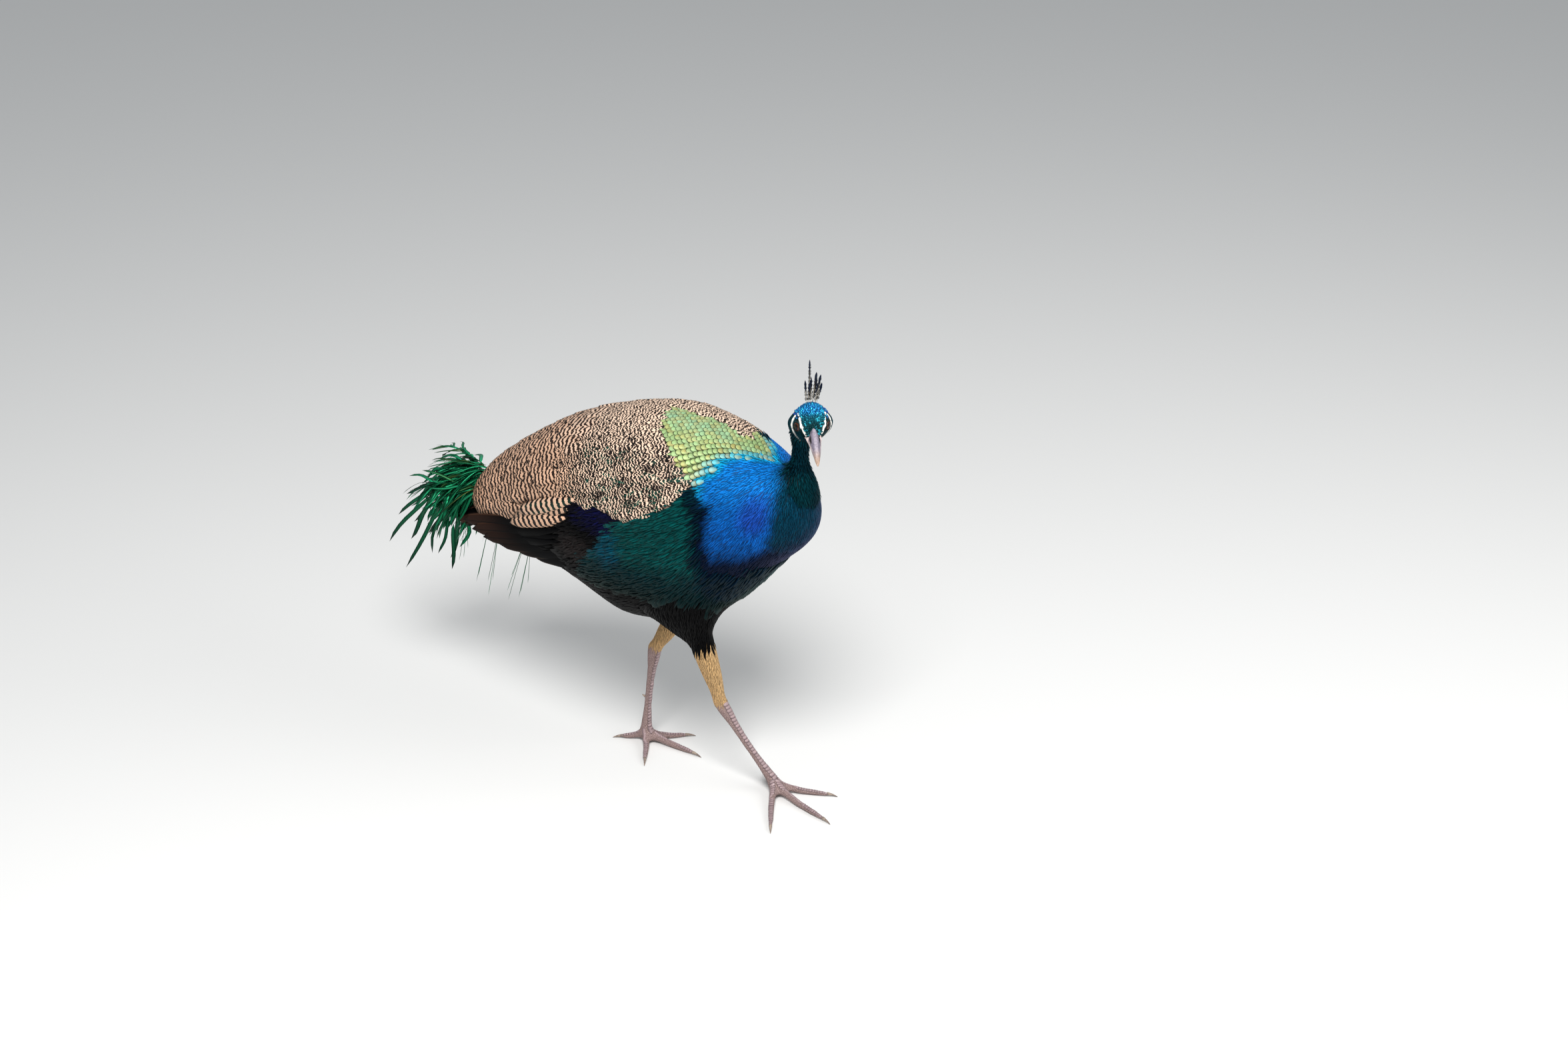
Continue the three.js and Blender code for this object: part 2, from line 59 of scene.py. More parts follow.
# %% [markdown]
# ## Landmarks
# Places on the body are told as three numbers in millimetres: `x` to the bird's left, `a` back from the
# foremost point of the breast, and `z` up from the floor. The head has its own axes, found from the two
# eyes, because it is turned to one side and tipped down a little.

# %% Body and head landmarks
breast_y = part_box("trunk")[0].y
HEAD_TIP = math.radians(12)
EYE_IN_HEAD = Vector((0, -8, 2))


def middle(node):
    low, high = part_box(node)
    return (low + high) / 2


def body_place(points):
    """x, a and z in millimetres of an array of points."""
    return points[:, 0] / mm, (points[:, 1] - breast_y) / mm, points[:, 2] / mm


def from_body(x, a, z):
    return Vector((x * mm, breast_y + a * mm, z * mm))


head_side = (middle("eye_left") - middle("eye_right")).normalized()
level_back = Vector((0, 0, 1)).cross(head_side)
head_back = level_back * math.cos(HEAD_TIP) + Vector((0, 0, math.sin(HEAD_TIP)))
HEAD_AXES = Matrix((head_side, head_back, head_side.cross(head_back))).transposed()
eyes_middle = (middle("eye_left") + middle("eye_right")) / 2
head_origin = eyes_middle - HEAD_AXES @ (EYE_IN_HEAD * mm)


def in_head(points):
    """Points in the head's own axes, in millimetres: x to its left, y to its back, z up."""
    return (np.asarray(points, float) - np.array(head_origin)) @ np.array(HEAD_AXES) / mm


def from_head(x, y, z):
    return head_origin + HEAD_AXES @ (Vector((x, y, z)) * mm)


def to_world(local):
    """The reverse of in_head, for an array of any shape whose rows are places."""
    return np.array(head_origin) + (local * mm) @ np.array(HEAD_AXES).T


print("head at", [round(v, 3) for v in head_origin])

# %% [markdown]
# ## Small tools for numbers
# A marking is a number between 0 and 1 at each point. `rise` is a soft step, and `ripple` is a soft waviness
# that comes out the same each time, so that no edge between two colours is a ruled line.

# %% Steps, ripples and colours
RIPPLES = 7
RIPPLE_HEIGHT = 3.2


def rise(value, low, high):
    t = np.clip((np.asarray(value, float) - low) / (high - low), 0, 1)
    return t * t * (3 - 2 * t)


def ripple(points, size, seed):
    """Smooth noise of about -1 to 1 whose waves are about size millimetres long."""
    random = np.random.default_rng(seed)
    total = np.zeros(len(points))
    for _ in range(RIPPLES):
        way = random.normal(size=3)
        way *= 2 * math.pi / (size * mm * np.linalg.norm(way)) * random.uniform(0.7, 1.4)
        total += np.sin(points @ way + random.uniform(0, 2 * math.pi))
    return total / RIPPLE_HEIGHT


def rgb(red, green, blue):
    """A colour given as a paint chart gives it, 0 to 255, turned into light."""
    chart = np.array([red, green, blue]) / 255
    return np.where(chart <= 0.04045, chart / 12.92, ((chart + 0.055) / 1.055) ** 2.4)


def curve_through(pairs):
    """A function through [place, value] pairs, straight between them."""
    places, values = zip(*pairs)
    return lambda at: np.interp(at, places, values)


def along_line(line, knots, at):
    """Places on a line of points, at numbers counted on the same scale as its knots."""
    line = np.asarray(line, float)
    return np.stack([np.interp(at, knots, line[:, k]) for k in range(line.shape[1])], -1)


def unit(rows):
    return rows / np.maximum(np.linalg.norm(rows, axis=-1, keepdims=True), TINY)


# %% [markdown]
# ## Node trees written as sums
# Shader and geometry trees could be wired node by node, but then a sum takes ten lines and can't be read
# back. A `Wire` is an output socket: adding or multiplying wires adds Math nodes, so a pattern is written as
# the sum it is. `Bench.add` makes any other node from its type, its settings and its inputs.

# %% Wires
class Bench:
    """A node tree to which nodes are added by type, settings and inputs."""

    def __init__(self, tree):
        self.tree = tree

    def add(self, kind, settings=None, inputs=None, out=0):
        node = self.tree.nodes.new(kind)
        for key, value in (settings or {}).items():
            setattr(node, key, value)
        for key, value in (inputs or {}).items():
            if isinstance(value, Wire):
                self.tree.links.new(value.socket, node.inputs[key])
            else:
                node.inputs[key].default_value = value
        return Wire(self, node.outputs[out])


class Wire:
    """An output socket that can stand in a sum."""

    def __init__(self, bench, socket):
        self.bench = bench
        self.socket = socket

    def maths(self, operation, *values):
        return self.bench.add("ShaderNodeMath", {"operation": operation}, dict(enumerate(values)))

    def sine(self):
        return self.maths("SINE", self)

    def size(self):
        return self.maths("ABSOLUTE", self)

    def step(self, low, high):
        return self.bench.add("ShaderNodeMapRange", {"interpolation_type": "SMOOTHSTEP"},
                              {"Value": self, "From Min": low, "From Max": high})

    def sibling(self, name):
        return Wire(self.bench, self.socket.node.outputs[name])


def sum_of(operation, turned):
    """A method for one sign between wires; turned puts the other value first."""
    if turned:
        return lambda self, other: self.maths(operation, other, self)
    return lambda self, other: self.maths(operation, self, other)


for sign, operation in {"add": "ADD", "sub": "SUBTRACT", "mul": "MULTIPLY", "truediv": "DIVIDE"}.items():
    setattr(Wire, "__%s__" % sign, sum_of(operation, False))
    setattr(Wire, "__r%s__" % sign, sum_of(operation, True))

# %% [markdown]
# ## The skin
# On the living bird one skin runs from the bill to the toes. Joining the solids with booleans would keep a
# crease at every joint, and sculpting afresh would lose their sizes. Here the solids of flesh and folded wing
# are copied, swollen by half a millimetre so that their gaps close, and wrapped by a voxel remesh. A ball
# over each eye is wrapped in too, for the lids. The facets are then relaxed away, gently on the small toes
# and the head and strongly on the body, and the skin is sunk by the depth that the coat has at each place.

# %% Wrap the solids
GROUPS = {
    "trunk": ("trunk",),
    "wing": ("wing_coverts", "secondaries", "primaries"),
    "thigh": ("thigh",),
    "neck": ("neck",),
    "head": ("head",),
    "shank": ("shank",),
    "leg": ("tarsus", "foot"),
}
SWELL = 0.0005
WELD = 1e-6
VOXEL = 0.0026
LID_RADIUS = 8.8
COAT_DEPTH = {"trunk": 6.5, "wing": 5.5, "thigh": 5.5, "neck": 3.5, "head": 1.5, "shank": 1.6, "leg": 0.1}
RELAX = {"trunk": 0.5, "wing": 0.5, "thigh": 0.4, "neck": 0.25, "head": 0.04, "shank": 0.1, "leg": 0.05}
RELAX_ROUNDS = 160
HALF = 0.5


def nodes_of(group):
    return [n for n in NODES if n.startswith(GROUPS[group])]


def solids_copied(nodes):
    bm = bmesh.new()
    for n in nodes:
        bm.from_mesh(NODES[n].data)
    return bm


def mesh_from(name, bm):
    mesh = bpy.data.meshes.new(name)
    bm.to_mesh(mesh)
    bm.free()
    return mesh


def object_of(name, data):
    made = bpy.data.objects.new(name, data)
    bpy.context.scene.collection.objects.link(made)
    return made


def modified(obj, kind, **settings):
    """Gives an object one modifier, applies it and leaves the object a plain mesh."""
    modifier = obj.modifiers.new(kind, kind)
    for key, value in settings.items():
        setattr(modifier, key, value)
    settled(obj)


def settled(obj):
    """Applies every modifier of an object, which is then a plain mesh."""
    graph = bpy.context.evaluated_depsgraph_get()
    mesh = bpy.data.meshes.new_from_object(obj.evaluated_get(graph), depsgraph=graph)
    obj.modifiers.clear()
    obj.data = mesh


flesh = [n for group in GROUPS for n in nodes_of(group)]
bm = solids_copied(flesh)
bmesh.ops.remove_doubles(bm, verts=bm.verts, dist=WELD)
bm.normal_update()
for v in bm.verts:
    v.co += v.normal * SWELL
for side in SIDES:
    ball = Matrix.Translation(middle("eye_" + side))
    bmesh.ops.create_icosphere(bm, subdivisions=3, radius=LID_RADIUS * mm, matrix=ball)
skin = object_of("skin", mesh_from("skin", bm))
modified(skin, "REMESH", mode="VOXEL", voxel_size=VOXEL)
print("skin wrapped:", len(skin.data.vertices), "points")


# %% Read and relax a net of points
def rows_of(values, name, width, kind=np.float32):
    """One number row for each item of a mesh collection."""
    found = np.empty(len(values) * width, kind)
    values.foreach_get(name, found)
    return found.reshape(-1, width)


def net_of(mesh):
    """A mesh's points, and its edges as pairs of them."""
    return rows_of(mesh.vertices, "co", 3).astype(float), rows_of(mesh.edges, "vertices", 2, np.int32)


def normals_of(mesh):
    return rows_of(mesh.vertex_normals, "vector", 3).astype(float)


def put_points(mesh, points):
    mesh.vertices.foreach_set("co", points.astype(np.float32).ravel())
    mesh.update()


def spread(values, edges, share, rounds):
    """Relaxes an array of rows over the net, each row towards the mean of its neighbours."""
    count = len(values)
    degree = np.maximum(np.bincount(edges.ravel(), minlength=count), 1)[:, None]
    share = np.broadcast_to(np.asarray(share, float), (count,))[:, None]
    one, two = edges[:, 0], edges[:, 1]
    for _ in range(rounds):
        total = np.stack([np.bincount(one, values[two, k], count) + np.bincount(two, values[one, k], count)
                          for k in range(values.shape[1])], 1)
        values = values + share * (total / degree - values)
    return values


# %% Which part each point belongs to
BELONG = 1.5 * mm
points, edges = net_of(skin.data)
gaps = []
for group in GROUPS:
    bm = solids_copied(nodes_of(group))
    tree = BVHTree.FromBMesh(bm)
    bm.free()
    gaps.append([tree.find_nearest(Vector(p))[3] for p in points])
gaps = np.array(gaps).T
belong = np.exp(-(gaps - gaps.min(1, keepdims=True)) / BELONG)
belong /= belong.sum(1, keepdims=True)
belong = spread(belong, edges, HALF, 10)


def by_part(table):
    return sum(belong[:, i] * table[group] for i, group in enumerate(GROUPS))


# %% Relax the facets away and sink the skin under its coat
points = spread(points, edges, by_part(RELAX), RELAX_ROUNDS)
put_points(skin.data, points)
depth = spread(by_part(COAT_DEPTH)[:, None], edges, HALF, 20)
points = points - normals_of(skin.data) * depth * mm
points = spread(points, edges, by_part(RELAX) * HALF, 6)
put_points(skin.data, points)
print("coat depth", depth.min().round(2), "to", depth.max().round(2), "mm")

# %% [markdown]
# ### A coarser body and a finer head
# The head carries the finest shapes, and the body under its thick coat the plainest. The net is thinned on
# the body, and every edge of the head is cut in two, twice.

# %% Thin the body, refine the head
BODY_SHARE = 0.5
HEAD_ROOM = np.array([30, 29, 34])
thin = skin.vertex_groups.new(name="thin")
plain = belong[:, 0] + belong[:, 1]
for level in range(1, 11):
    members = np.flatnonzero(np.round(plain * 10) == level)
    thin.add(members.tolist(), level / 10, "REPLACE")
known = KDTree(len(points))
for i, p in enumerate(points):
    known.insert(p, i)
known.balance()
modified(skin, "DECIMATE", ratio=BODY_SHARE, vertex_group="thin")
skin.vertex_groups.clear()
print("skin thinned:", len(skin.data.vertices), "points")
for room in (HEAD_ROOM, HEAD_ROOM - 1):
    bm = bmesh.new()
    bm.from_mesh(skin.data)
    chosen = (np.abs(in_head(np.array([v.co for v in bm.verts]))) < room).all(1)
    bm.verts.index_update()
    inside = [e for e in bm.edges if chosen[e.verts[0].index] and chosen[e.verts[1].index]]
    bmesh.ops.subdivide_edges(bm, edges=inside, cuts=1, use_grid_fill=True)
    bm.to_mesh(skin.data)
    bm.free()
points, edges = net_of(skin.data)
belong = spread(belong[[known.find(p)[1] for p in points]], edges, HALF, 4)
part = {group: belong[:, i] for i, group in enumerate(GROUPS)}
on_head = (np.abs(in_head(points)) < HEAD_ROOM + 1).all(1) * (part["head"] + part["neck"])
points = spread(points, edges, HALF * on_head, 12)
print("skin with its finer head:", len(points), "points")

# %% [markdown]
# ### Lids
# Each eye sits under two lids that meet in an almond opening. Lids made as rings of their own would show
# their edges, so they are shaped from the skin: over the eyeball it is lifted to the lids' outer face,
# swollen at the rim, and pressed in behind the eyeball's surface inside the opening. Cheeks, throat and brows
# are swellings of the skin, which keep clear of the lids.

# %% Shape the lids and cheeks
EYE_RADIUS = 7.3
EYE_LOOKS = Vector((0.86, -0.44, 0.14)).normalized()
EYE_FORTH = (0.0, -1.0, -0.32)
EYE_ROOM = 12.5
EYE_SIDE = 0.12
LID_OPEN = (60, 46)
LOWER_LID = 0.12
LID_FACE = 8.0
LID_RIM = 8.5
LID_INSIDE = 5.6
LID_CLEAR = 1.3
FAR_FROM_LIDS = 9.0
CHEEKS = [((24, 10, -6), (13, 12, 17), 5.2), ((17, 12, -20), (12, 14, 12), 3.0),
          ((12, -8, 15), (8, 9, 5), 1.0)]
CHEEK_WAY = (0.15, -0.1)


def eye_frame(sign):
    """The eye's middle in the head's axes, and the ways it looks, forward along the slit and up."""
    centre = np.array(in_head([middle("eye_left" if sign > 0 else "eye_right")])[0])
    looks = np.array(EYE_LOOKS) * [sign, 1, 1]
    forth = np.array(EYE_FORTH)
    forth -= looks * (forth @ looks)
    forth /= np.linalg.norm(forth)
    return centre, looks, forth, np.cross(looks, forth) * -sign


lid_open = np.full(len(points), FAR_FROM_LIDS)
local = in_head(points)
for sign in SIDES.values():
    centre, looks, forth_way, up_way = eye_frame(sign)
    out = local - centre
    reach = np.linalg.norm(out, axis=1)
    facing = out @ looks
    forth = np.degrees(np.arctan2(out @ forth_way, facing))
    up = np.degrees(np.arctan2(out @ up_way, facing))
    facing = facing / np.maximum(reach, TINY)
    almond = np.abs(up) / (LID_OPEN[1] * (1 - LOWER_LID * (up < 0))) + np.abs(forth / LID_OPEN[0]) ** 1.7
    near = (facing > EYE_SIDE) & (reach < EYE_ROOM)
    face = LID_FACE + (LID_RIM - LID_FACE) * np.exp(-((almond - 1.12) / 0.16) ** 2)
    lifted = np.maximum(reach, face * rise(facing, EYE_SIDE, 0.45))
    wanted = np.where(almond < 1.0, LID_INSIDE, lifted)
    moved = centre + (local - centre) * (wanted / np.maximum(reach, 1e-6))[:, None]
    local = np.where(near[:, None], moved, local)
    lid_open = np.where(near, np.minimum(lid_open, almond), lid_open)
for place, room, swell in CHEEKS:
    for sign in SIDES.values():
        far = ((local - np.array(place) * [sign, 1, 1]) / room) ** 2
        grow = swell * np.exp(-far.sum(1)) * (lid_open > LID_CLEAR)
        local = local + grow[:, None] * np.array([sign, *CHEEK_WAY])
points = to_world(local)
put_points(skin.data, points)
skin.data.shade_smooth()
normals = normals_of(skin.data)
print("points in the eye openings:", int((lid_open < 1).sum()))

# %% [markdown]
# ## The lie of the plumage
# Feathers on the breast and mantle fan out from the foot of the neck, like a cape. Behind them they run
# back and down along the body, on the legs they point down, along the toes they point to the claws, and on
# the head they run back from the bill. Combing them by hand couldn't be repeated, so a few plain rules give
# the direction, relaxed over the skin where they meet. It is kept as one arrow at each point, flat against
# the surface.

# %% Which way feathers lie
NECK_FOOT = np.array(from_body(0, 40, 474))
BILL_FOOT = np.array(from_head(0, -27, -2))
BACKWARD = (0, 1, -0.42)
DOWNWARD = (0, 0.05, -1)
FOOT_HEIGHT = 22
FOOT_REACH = 0.12
x, a, z = body_place(points)


def always(direction):
    return np.tile(np.array(direction, float), (len(points), 1))


back = rise(a, 110, 230)[:, None]
body_lie = unit(points - NECK_FOOT) * (1 - back) + unit(always(BACKWARD)) * back
toe_way = np.zeros_like(points)
for side in SIDES:
    tips = np.array([middle(n) for n in NODES if n.startswith("claw_" + side)])
    mine = np.linalg.norm(points - np.array(middle("foot_" + side)), axis=1) < FOOT_REACH
    nearest = np.linalg.norm(points[:, None, :] - tips[None], axis=2).argmin(1)
    toe_way[mine] = unit((tips[nearest] - points) * [1, 1, 0])[mine]
on_foot = (1 - rise(z, FOOT_HEIGHT - 6, FOOT_HEIGHT + 6))[:, None]
leg_lie = always(DOWNWARD) * (1 - on_foot) + toe_way * on_foot
lie = (body_lie * (part["trunk"] + part["wing"])[:, None] + always(DOWNWARD) * part["neck"][:, None]
       + unit(points - BILL_FOOT) * part["head"][:, None]
       + leg_lie * (part["thigh"] + part["shank"] + part["leg"])[:, None])
lie = spread(lie, edges, HALF, 8)
lie = unit(lie - normals * (lie * normals).sum(1, keepdims=True))

# %% [markdown]
# ## Markings
# The bird has a blue mantle and breast, a green scaled back, barred wings, dark teal flanks and neck, a
# black belly, tan shins and scaled legs. A painted image would have to be unwrapped, and would stop at the
# skin. One table of masks made from the landmarks serves the skin, where each kind of feather grows, and the
# tone of every vane.

# %% Masks of the body's regions
PAINT = {}


def paint(**charts):
    """Adds colours to the paint table, each as red, green and blue of 0 to 255."""
    PAINT.update((name, rgb(*chart)) for name, chart in charts.items())


paint(azure=(20, 128, 212), cobalt=(14, 92, 180), violet=(36, 56, 168), turquoise=(16, 164, 192),
      navy=(3, 12, 32), teal=(5, 50, 58), black=(5, 5, 6), leaf=(156, 176, 92), mint=(150, 190, 148),
      bronze=(178, 158, 88), flank=(5, 74, 72), flank_deep=(4, 34, 40), flank_blue=(8, 66, 100),
      hair=(52, 45, 44), cream=(224, 194, 170), buff=(206, 166, 138), rust=(184, 136, 108),
      tan=(206, 168, 116), leg=(152, 130, 126), crown=(16, 122, 186), brow=(10, 108, 128),
      forehead=(7, 74, 80), crown_side=(34, 76, 184), face=(6, 58, 68), lore=(5, 30, 26),
      bare=(240, 236, 228), lid=(26, 44, 42), gape=(226, 204, 198), blue_black=(14, 16, 70),
      brown=(58, 38, 30), bar=(26, 20, 18), gloss=(14, 70, 58))
RIDGE_X = 22
WING_LOW = curve_through([(90, 486), (120, 464), (131, 452), (144, 434), (168, 416), (219, 393), (272, 399),
                          (300, 398), (330, 372), (380, 352), (436, 338), (490, 316), (540, 300)])
wave = ripple(points, 34, 1)
fine = ripple(points, 12, 2)
side_x = np.abs(x)
trunk = part["trunk"] + part["wing"]
past_cape = a - (60 + 1.25 * side_x - 0.0046 * side_x ** 2 - 14 * (1 - rise(z, 425, 450)))
wing_front = np.where(x < 0, 131 + 1.31 * (z - 452), 70 + 0.9 * np.abs(452 - z))
behind_cape = rise(past_cape + 3 * wave, -3, 3)
wing_side = np.maximum(rise(a - wing_front + 2 * fine, -3, 3), rise(x - RIDGE_X, -2, 2) * behind_cape)
above_belly = rise(z - 340 + 8 * wave, -16, 16)
masks = {"wing": trunk * wing_side * rise(z - WING_LOW(a) + 2 * fine, -3, 3)}
masks["scale"] = trunk * behind_cape * (1 - wing_side) * rise(z - 452, -8, 8)
masks["blue"] = trunk * (1 - behind_cape) * (1 - masks["wing"]) * above_belly
soft = np.clip(trunk * (1 - masks["wing"] - masks["scale"] - masks["blue"]), 0, 1)
flight_mask = soft * rise(a, 318, 334) * rise(z - 262, 0, 14) * rise(side_x, 20, 34)
soft_rest = np.clip(soft - flight_mask, 0, 1)
vent_mask = soft_rest * rise(a - (251 + 0.82 * (358 - z)) + 4 * wave, -10, 10)
flank_mask = np.clip(soft - vent_mask - flight_mask, 0, 1) * rise(z, 268, 300)
belly_mask = np.clip(soft - vent_mask - flank_mask - flight_mask, 0, 1)

# %% [markdown]
# ### The face
# A white stripe of bare skin runs down in front of the eye to the gape, and a white crescent lies behind
# and below it. Both are too narrow for the soft masks of the body, so they are drawn as paths on the skin; a
# point is bare when it is close enough to one, and stands a little proud of the coat round it.

# %% Masks of the face
FACE_PATHS = {
    "stripe": [(-16.2, -7.0, 12.4), (-15.2, -10.4, 9.6), (-14, -14.5, 6.2), (-12.2, -18.6, 0.6),
               (-10.2, -22, -5.2), (-9.2, -24.5, -10)],
    "crescent": [(-20.4, 1.6, 10.2), (-22.4, 1.0, 4.6), (-23.4, -0.6, -3), (-22.4, -3.8, -10.5),
                 (-20.2, -8.2, -15.4), (-17, -12, -19.6)],
    "spot": [(-17.2, -0.6, 14.6), (-16.4, -2.2, 15.2)],
    "lid": [(-18.5, -3.5, 10.4), (-17.5, -7.5, 9.8)],
    "gape": [(-10.2, -20.5, -12.5), (-9, -24, -13.5), (-6.5, -27, -13.5)],
}
PATH_WIDTH = {"stripe": 1.5, "crescent": 1.5, "spot": 1.8, "lid": 2.6, "gape": 2.0}
BALD_WIDTH = {"stripe": 2.3, "crescent": 3.1, "spot": 2.2}
PATH_STEPS = 60
PATH_EDGE = 0.4
FAR = 99.0
local = in_head(points)
skin_tree = BVHTree.FromPolygons([Vector(p) for p in points], [tuple(f.vertices) for f in skin.data.polygons])
near_head = np.flatnonzero((np.abs(local) < HEAD_ROOM + 4).all(1))
path_reach = {}
for name, path in FACE_PATHS.items():
    reaches = []
    for sign in SIDES.values():
        line = np.array(path, float) * [-sign, 1, 1]
        dense = along_line(line, np.arange(len(line)), np.linspace(0, len(line) - 1, PATH_STEPS))
        dense = in_head([skin_tree.find_nearest(from_head(*p))[0] for p in dense])
        far = np.full(len(points), FAR)
        far[near_head] = np.linalg.norm(local[near_head][:, None] - dense[None], axis=2).min(1)
        reaches.append(far)
    path_reach[name] = np.minimum(*reaches)


def drawn(name, width):
    """A mask along a path and its mirror image on the other side of the head."""
    reach = path_reach[name] + 0.2 * np.sin(local[:, 2] * 0.9)
    return 1 - rise(reach, width - PATH_EDGE, width + PATH_EDGE)


stripe, crescent, spot, lid_patch, gape = (drawn(name, width) for name, width in PATH_WIDTH.items())
bare = np.clip(stripe + crescent + spot, 0, 1)
bald = sum(drawn(name, width) for name, width in BALD_WIDTH.items())
bald = np.clip(bald + gape + (1 - rise(lid_open, 1.5, 1.8)), 0, 1)
head_x, head_y, head_z = np.abs(local[:, 0]), local[:, 1], local[:, 2]
stripe_side = np.interp(head_z, *zip(*[(p[2], -p[0]) for p in reversed(FACE_PATHS["stripe"])]))
between = rise(stripe_side - head_x, -0.6, 0.6) * rise(head_z, -7, -4) * rise(-head_y, 4, 8)
feathered = part["head"] * (1 - bald)
crown_mask = feathered * np.maximum(rise(head_z - 9 - 1.2 * fine, -1.2, 1.2), between)
masks.update({"neck": part["neck"], "crown": crown_mask, "face": feathered - crown_mask,
              "thigh": part["thigh"], "shin": part["shank"], "leg": part["leg"],
              "vent": vent_mask, "flank": flank_mask, "belly": belly_mask, "flight": flight_mask})
for name, mask in masks.items():
    print(name, "covers", round(float(mask.mean()), 3), "of the points")

# %% [markdown]
# ### Colours
# No part of the plumage has one flat colour: the blue turns to violet at the foot of the neck and to black
# under the breast. So each region is a stack of colours on black, laid like washes of paint. A layer is a
# colour and how much of it shows, as one number or as a mask of its own.

# %% Colours of the regions
PROUD = 0.9
COAT_SHADE_SHARE = 0.35


def over(base, colour, mask):
    """A colour laid over another where the mask is 1."""
    return base * (1 - mask[:, None]) + PAINT[colour] * mask[:, None]


def patch(middle_a, middle_z, reach_a, reach_z, inner, outer):
    """A soft round patch on the side of the body."""
    return 1 - rise(np.hypot((a - middle_a) / reach_a, (z - middle_z) / reach_z), inner, outer)


layers = {
    "wing": [("cream", 1), ("buff", rise(a + 0.35 * (430 - z), 262, 330)), ("rust", 0.5 * rise(a, 400, 500))],
    "scale": [("leaf", 1),
              ("mint", 0.35 + 0.65 * rise(z, 470, 505) * (0.6 + 0.4 * np.clip(wave, -1, 1))),
              ("bronze", 0.45 * rise(fine, 0.1, 0.9)),
              ("turquoise", 0.85 * (1 - rise(past_cape, 2, 14)))],
    "blue": [("azure", 1),
             # Azure on top and deeper cobalt lower down: partly the blue's own colour, partly painted light
             # on top and painted shade lower down.
             ("cobalt", 0.9 * (1 - rise(z + 5 * wave, 400, 470))),
             ("violet", 0.6 * patch(60, 424, 18, 24, 0.4, 1.4)),
             ("turquoise", 0.8 * rise(past_cape + 3 * wave, -10, -2) * rise(z, 425, 455)),
             # Teal at the front of the breast and the foot of the neck: partly the plumage's own teal, partly
             # painted shade on the front.
             ("teal", 0.95 * (1 - rise(a - 0.3 * np.maximum(z - 440, 0) + 3 * wave, 36, 52))),
             ("navy", 0.5 * rise(fine + 0.4 * wave, 0.1, 0.9) * (1 - rise(z, 396, 440))),
             ("navy", 1 - rise(z + 6 * wave + 0.1 * a, 364, 396)),
             ("navy", rise(past_cape + 3 * wave, -12, -4) * (1 - rise(z, 422, 445)))],
    "neck": [("teal", 1), ("navy", 0.5 * rise(wave, -0.4, 0.6))],
    "crown": [("brow", 1), ("crown", rise(head_z + 0.5 * head_y, 8, 18)),
              ("crown_side", 0.8 * rise(head_x + 0.4 * head_y, 12, 20)),
              ("forehead", 1 - rise(head_z + 0.55 * head_y, -3, 8))],
    "face": [("face", 1), ("lore", 1 - rise(head_y, -18, -12)), ("crown_side", 0.35 * rise(head_y, 6, 16))],
    "thigh": [],
    "shin": [("tan", 1)],
    "leg": [("leg", 1)],
    "vent": [("hair", 0.5 * patch(300, 330, 34, 26, 0.4, 1.2)),
             ("blue_black", patch(262, 384, 42, 20, 0.5, 1.2) * (0.25 + 0.6 * rise(fine, -0.3, 0.7)))],
    "flank": [("flank_deep", rise(z, 278, 330)),
              ("flank", rise(z + 8 * wave, 315, 360) * (0.6 + 0.4 * rise(fine, -0.6, 0.6))),
              ("flank_blue", 0.45 * patch(246, 352, 26, 34, 0.4, 1.2)),
              ("navy", 1 - rise(past_cape + 3 * wave, 2, 12))],
    "belly": [],
    "flight": [("brown", 0.7 * rise(z - 310 + 6 * fine, -20, 34) * rise(a, 380, 470))],
}
painted = {}
for name in masks:
    tone = always(PAINT["black"])
    for colour, share in layers[name]:
        tone = over(tone, colour, share * np.ones(len(points)))
    painted[name] = tone
total = np.maximum(sum(masks.values()), 1e-6)[:, None]
colour = sum(painted[name] * masks[name][:, None] for name in masks) / total
lids = np.clip(1 - rise(lid_open, 1.2, 1.45) + lid_patch, 0, 1)
for name, mask in (("lid", lids), ("gape", gape), ("bare", bare)):
    colour = over(colour, name, mask * part["head"])
colour = over(colour, "bar", (lid_open < 1.12) * 1.0)
points = points + normals * (np.clip(bare + gape * 0.6, 0, 1) * PROUD * mm)[:, None]
put_points(skin.data, points)


# %% Keep the fields on the skin
def keep(mesh, name, values):
    """Keeps an array on a mesh's points, as numbers or as arrows."""
    values = values.astype(np.float32)
    made = mesh.attributes.new(name, "FLOAT" if values.ndim == 1 else "FLOAT_VECTOR", "POINT")
    made.data.foreach_set("value" if values.ndim == 1 else "vector", values.ravel())


def keep_colour(mesh, name, values):
    made = mesh.attributes.new(name, "FLOAT_COLOR", "POINT")
    rows = np.concatenate([values, np.ones((len(values), 1))], 1)
    made.data.foreach_set("color", rows.astype(np.float32).ravel())


gloss = rise(fine + 0.5 * wave, -0.2, 0.9) * rise(-z, -482, -462) * (1 - rise(a, 270, 320))
blotch = np.clip(ripple(points, 20, 5), -1, 1)
dense = rise(-z + 6 * wave, -500, -462) * (1 - rise(a, 285, 330)) * (0.75 + 0.6 * blotch)
open_skin = np.clip(part["leg"] + bald * part["head"], 0, 1)[:, None]
cape_reach = trunk * (1 - rise(past_cape, 4, 9)) * (1 - masks["wing"]) * above_belly
masks["cape"], painted["cape"] = cape_reach, painted["blue"]
keep(skin.data, "lie", lie)
keep(skin.data, "gloss", gloss)
keep(skin.data, "dense", dense + 0.3 * np.clip(blotch, 0, 1))
keep(skin.data, "is_scaly", part["leg"])
keep_colour(skin.data, "tone", colour)
# Painted shade: under the coat the skin keeps only part of the plumage's tone; bare skin keeps all of it.
keep_colour(skin.data, "hide_tone", colour * (COAT_SHADE_SHARE + (1 - COAT_SHADE_SHARE) * open_skin))
for name, mask in masks.items():
    keep(skin.data, "is_" + name, mask)
    keep_colour(skin.data, "own_" + name, painted[name])

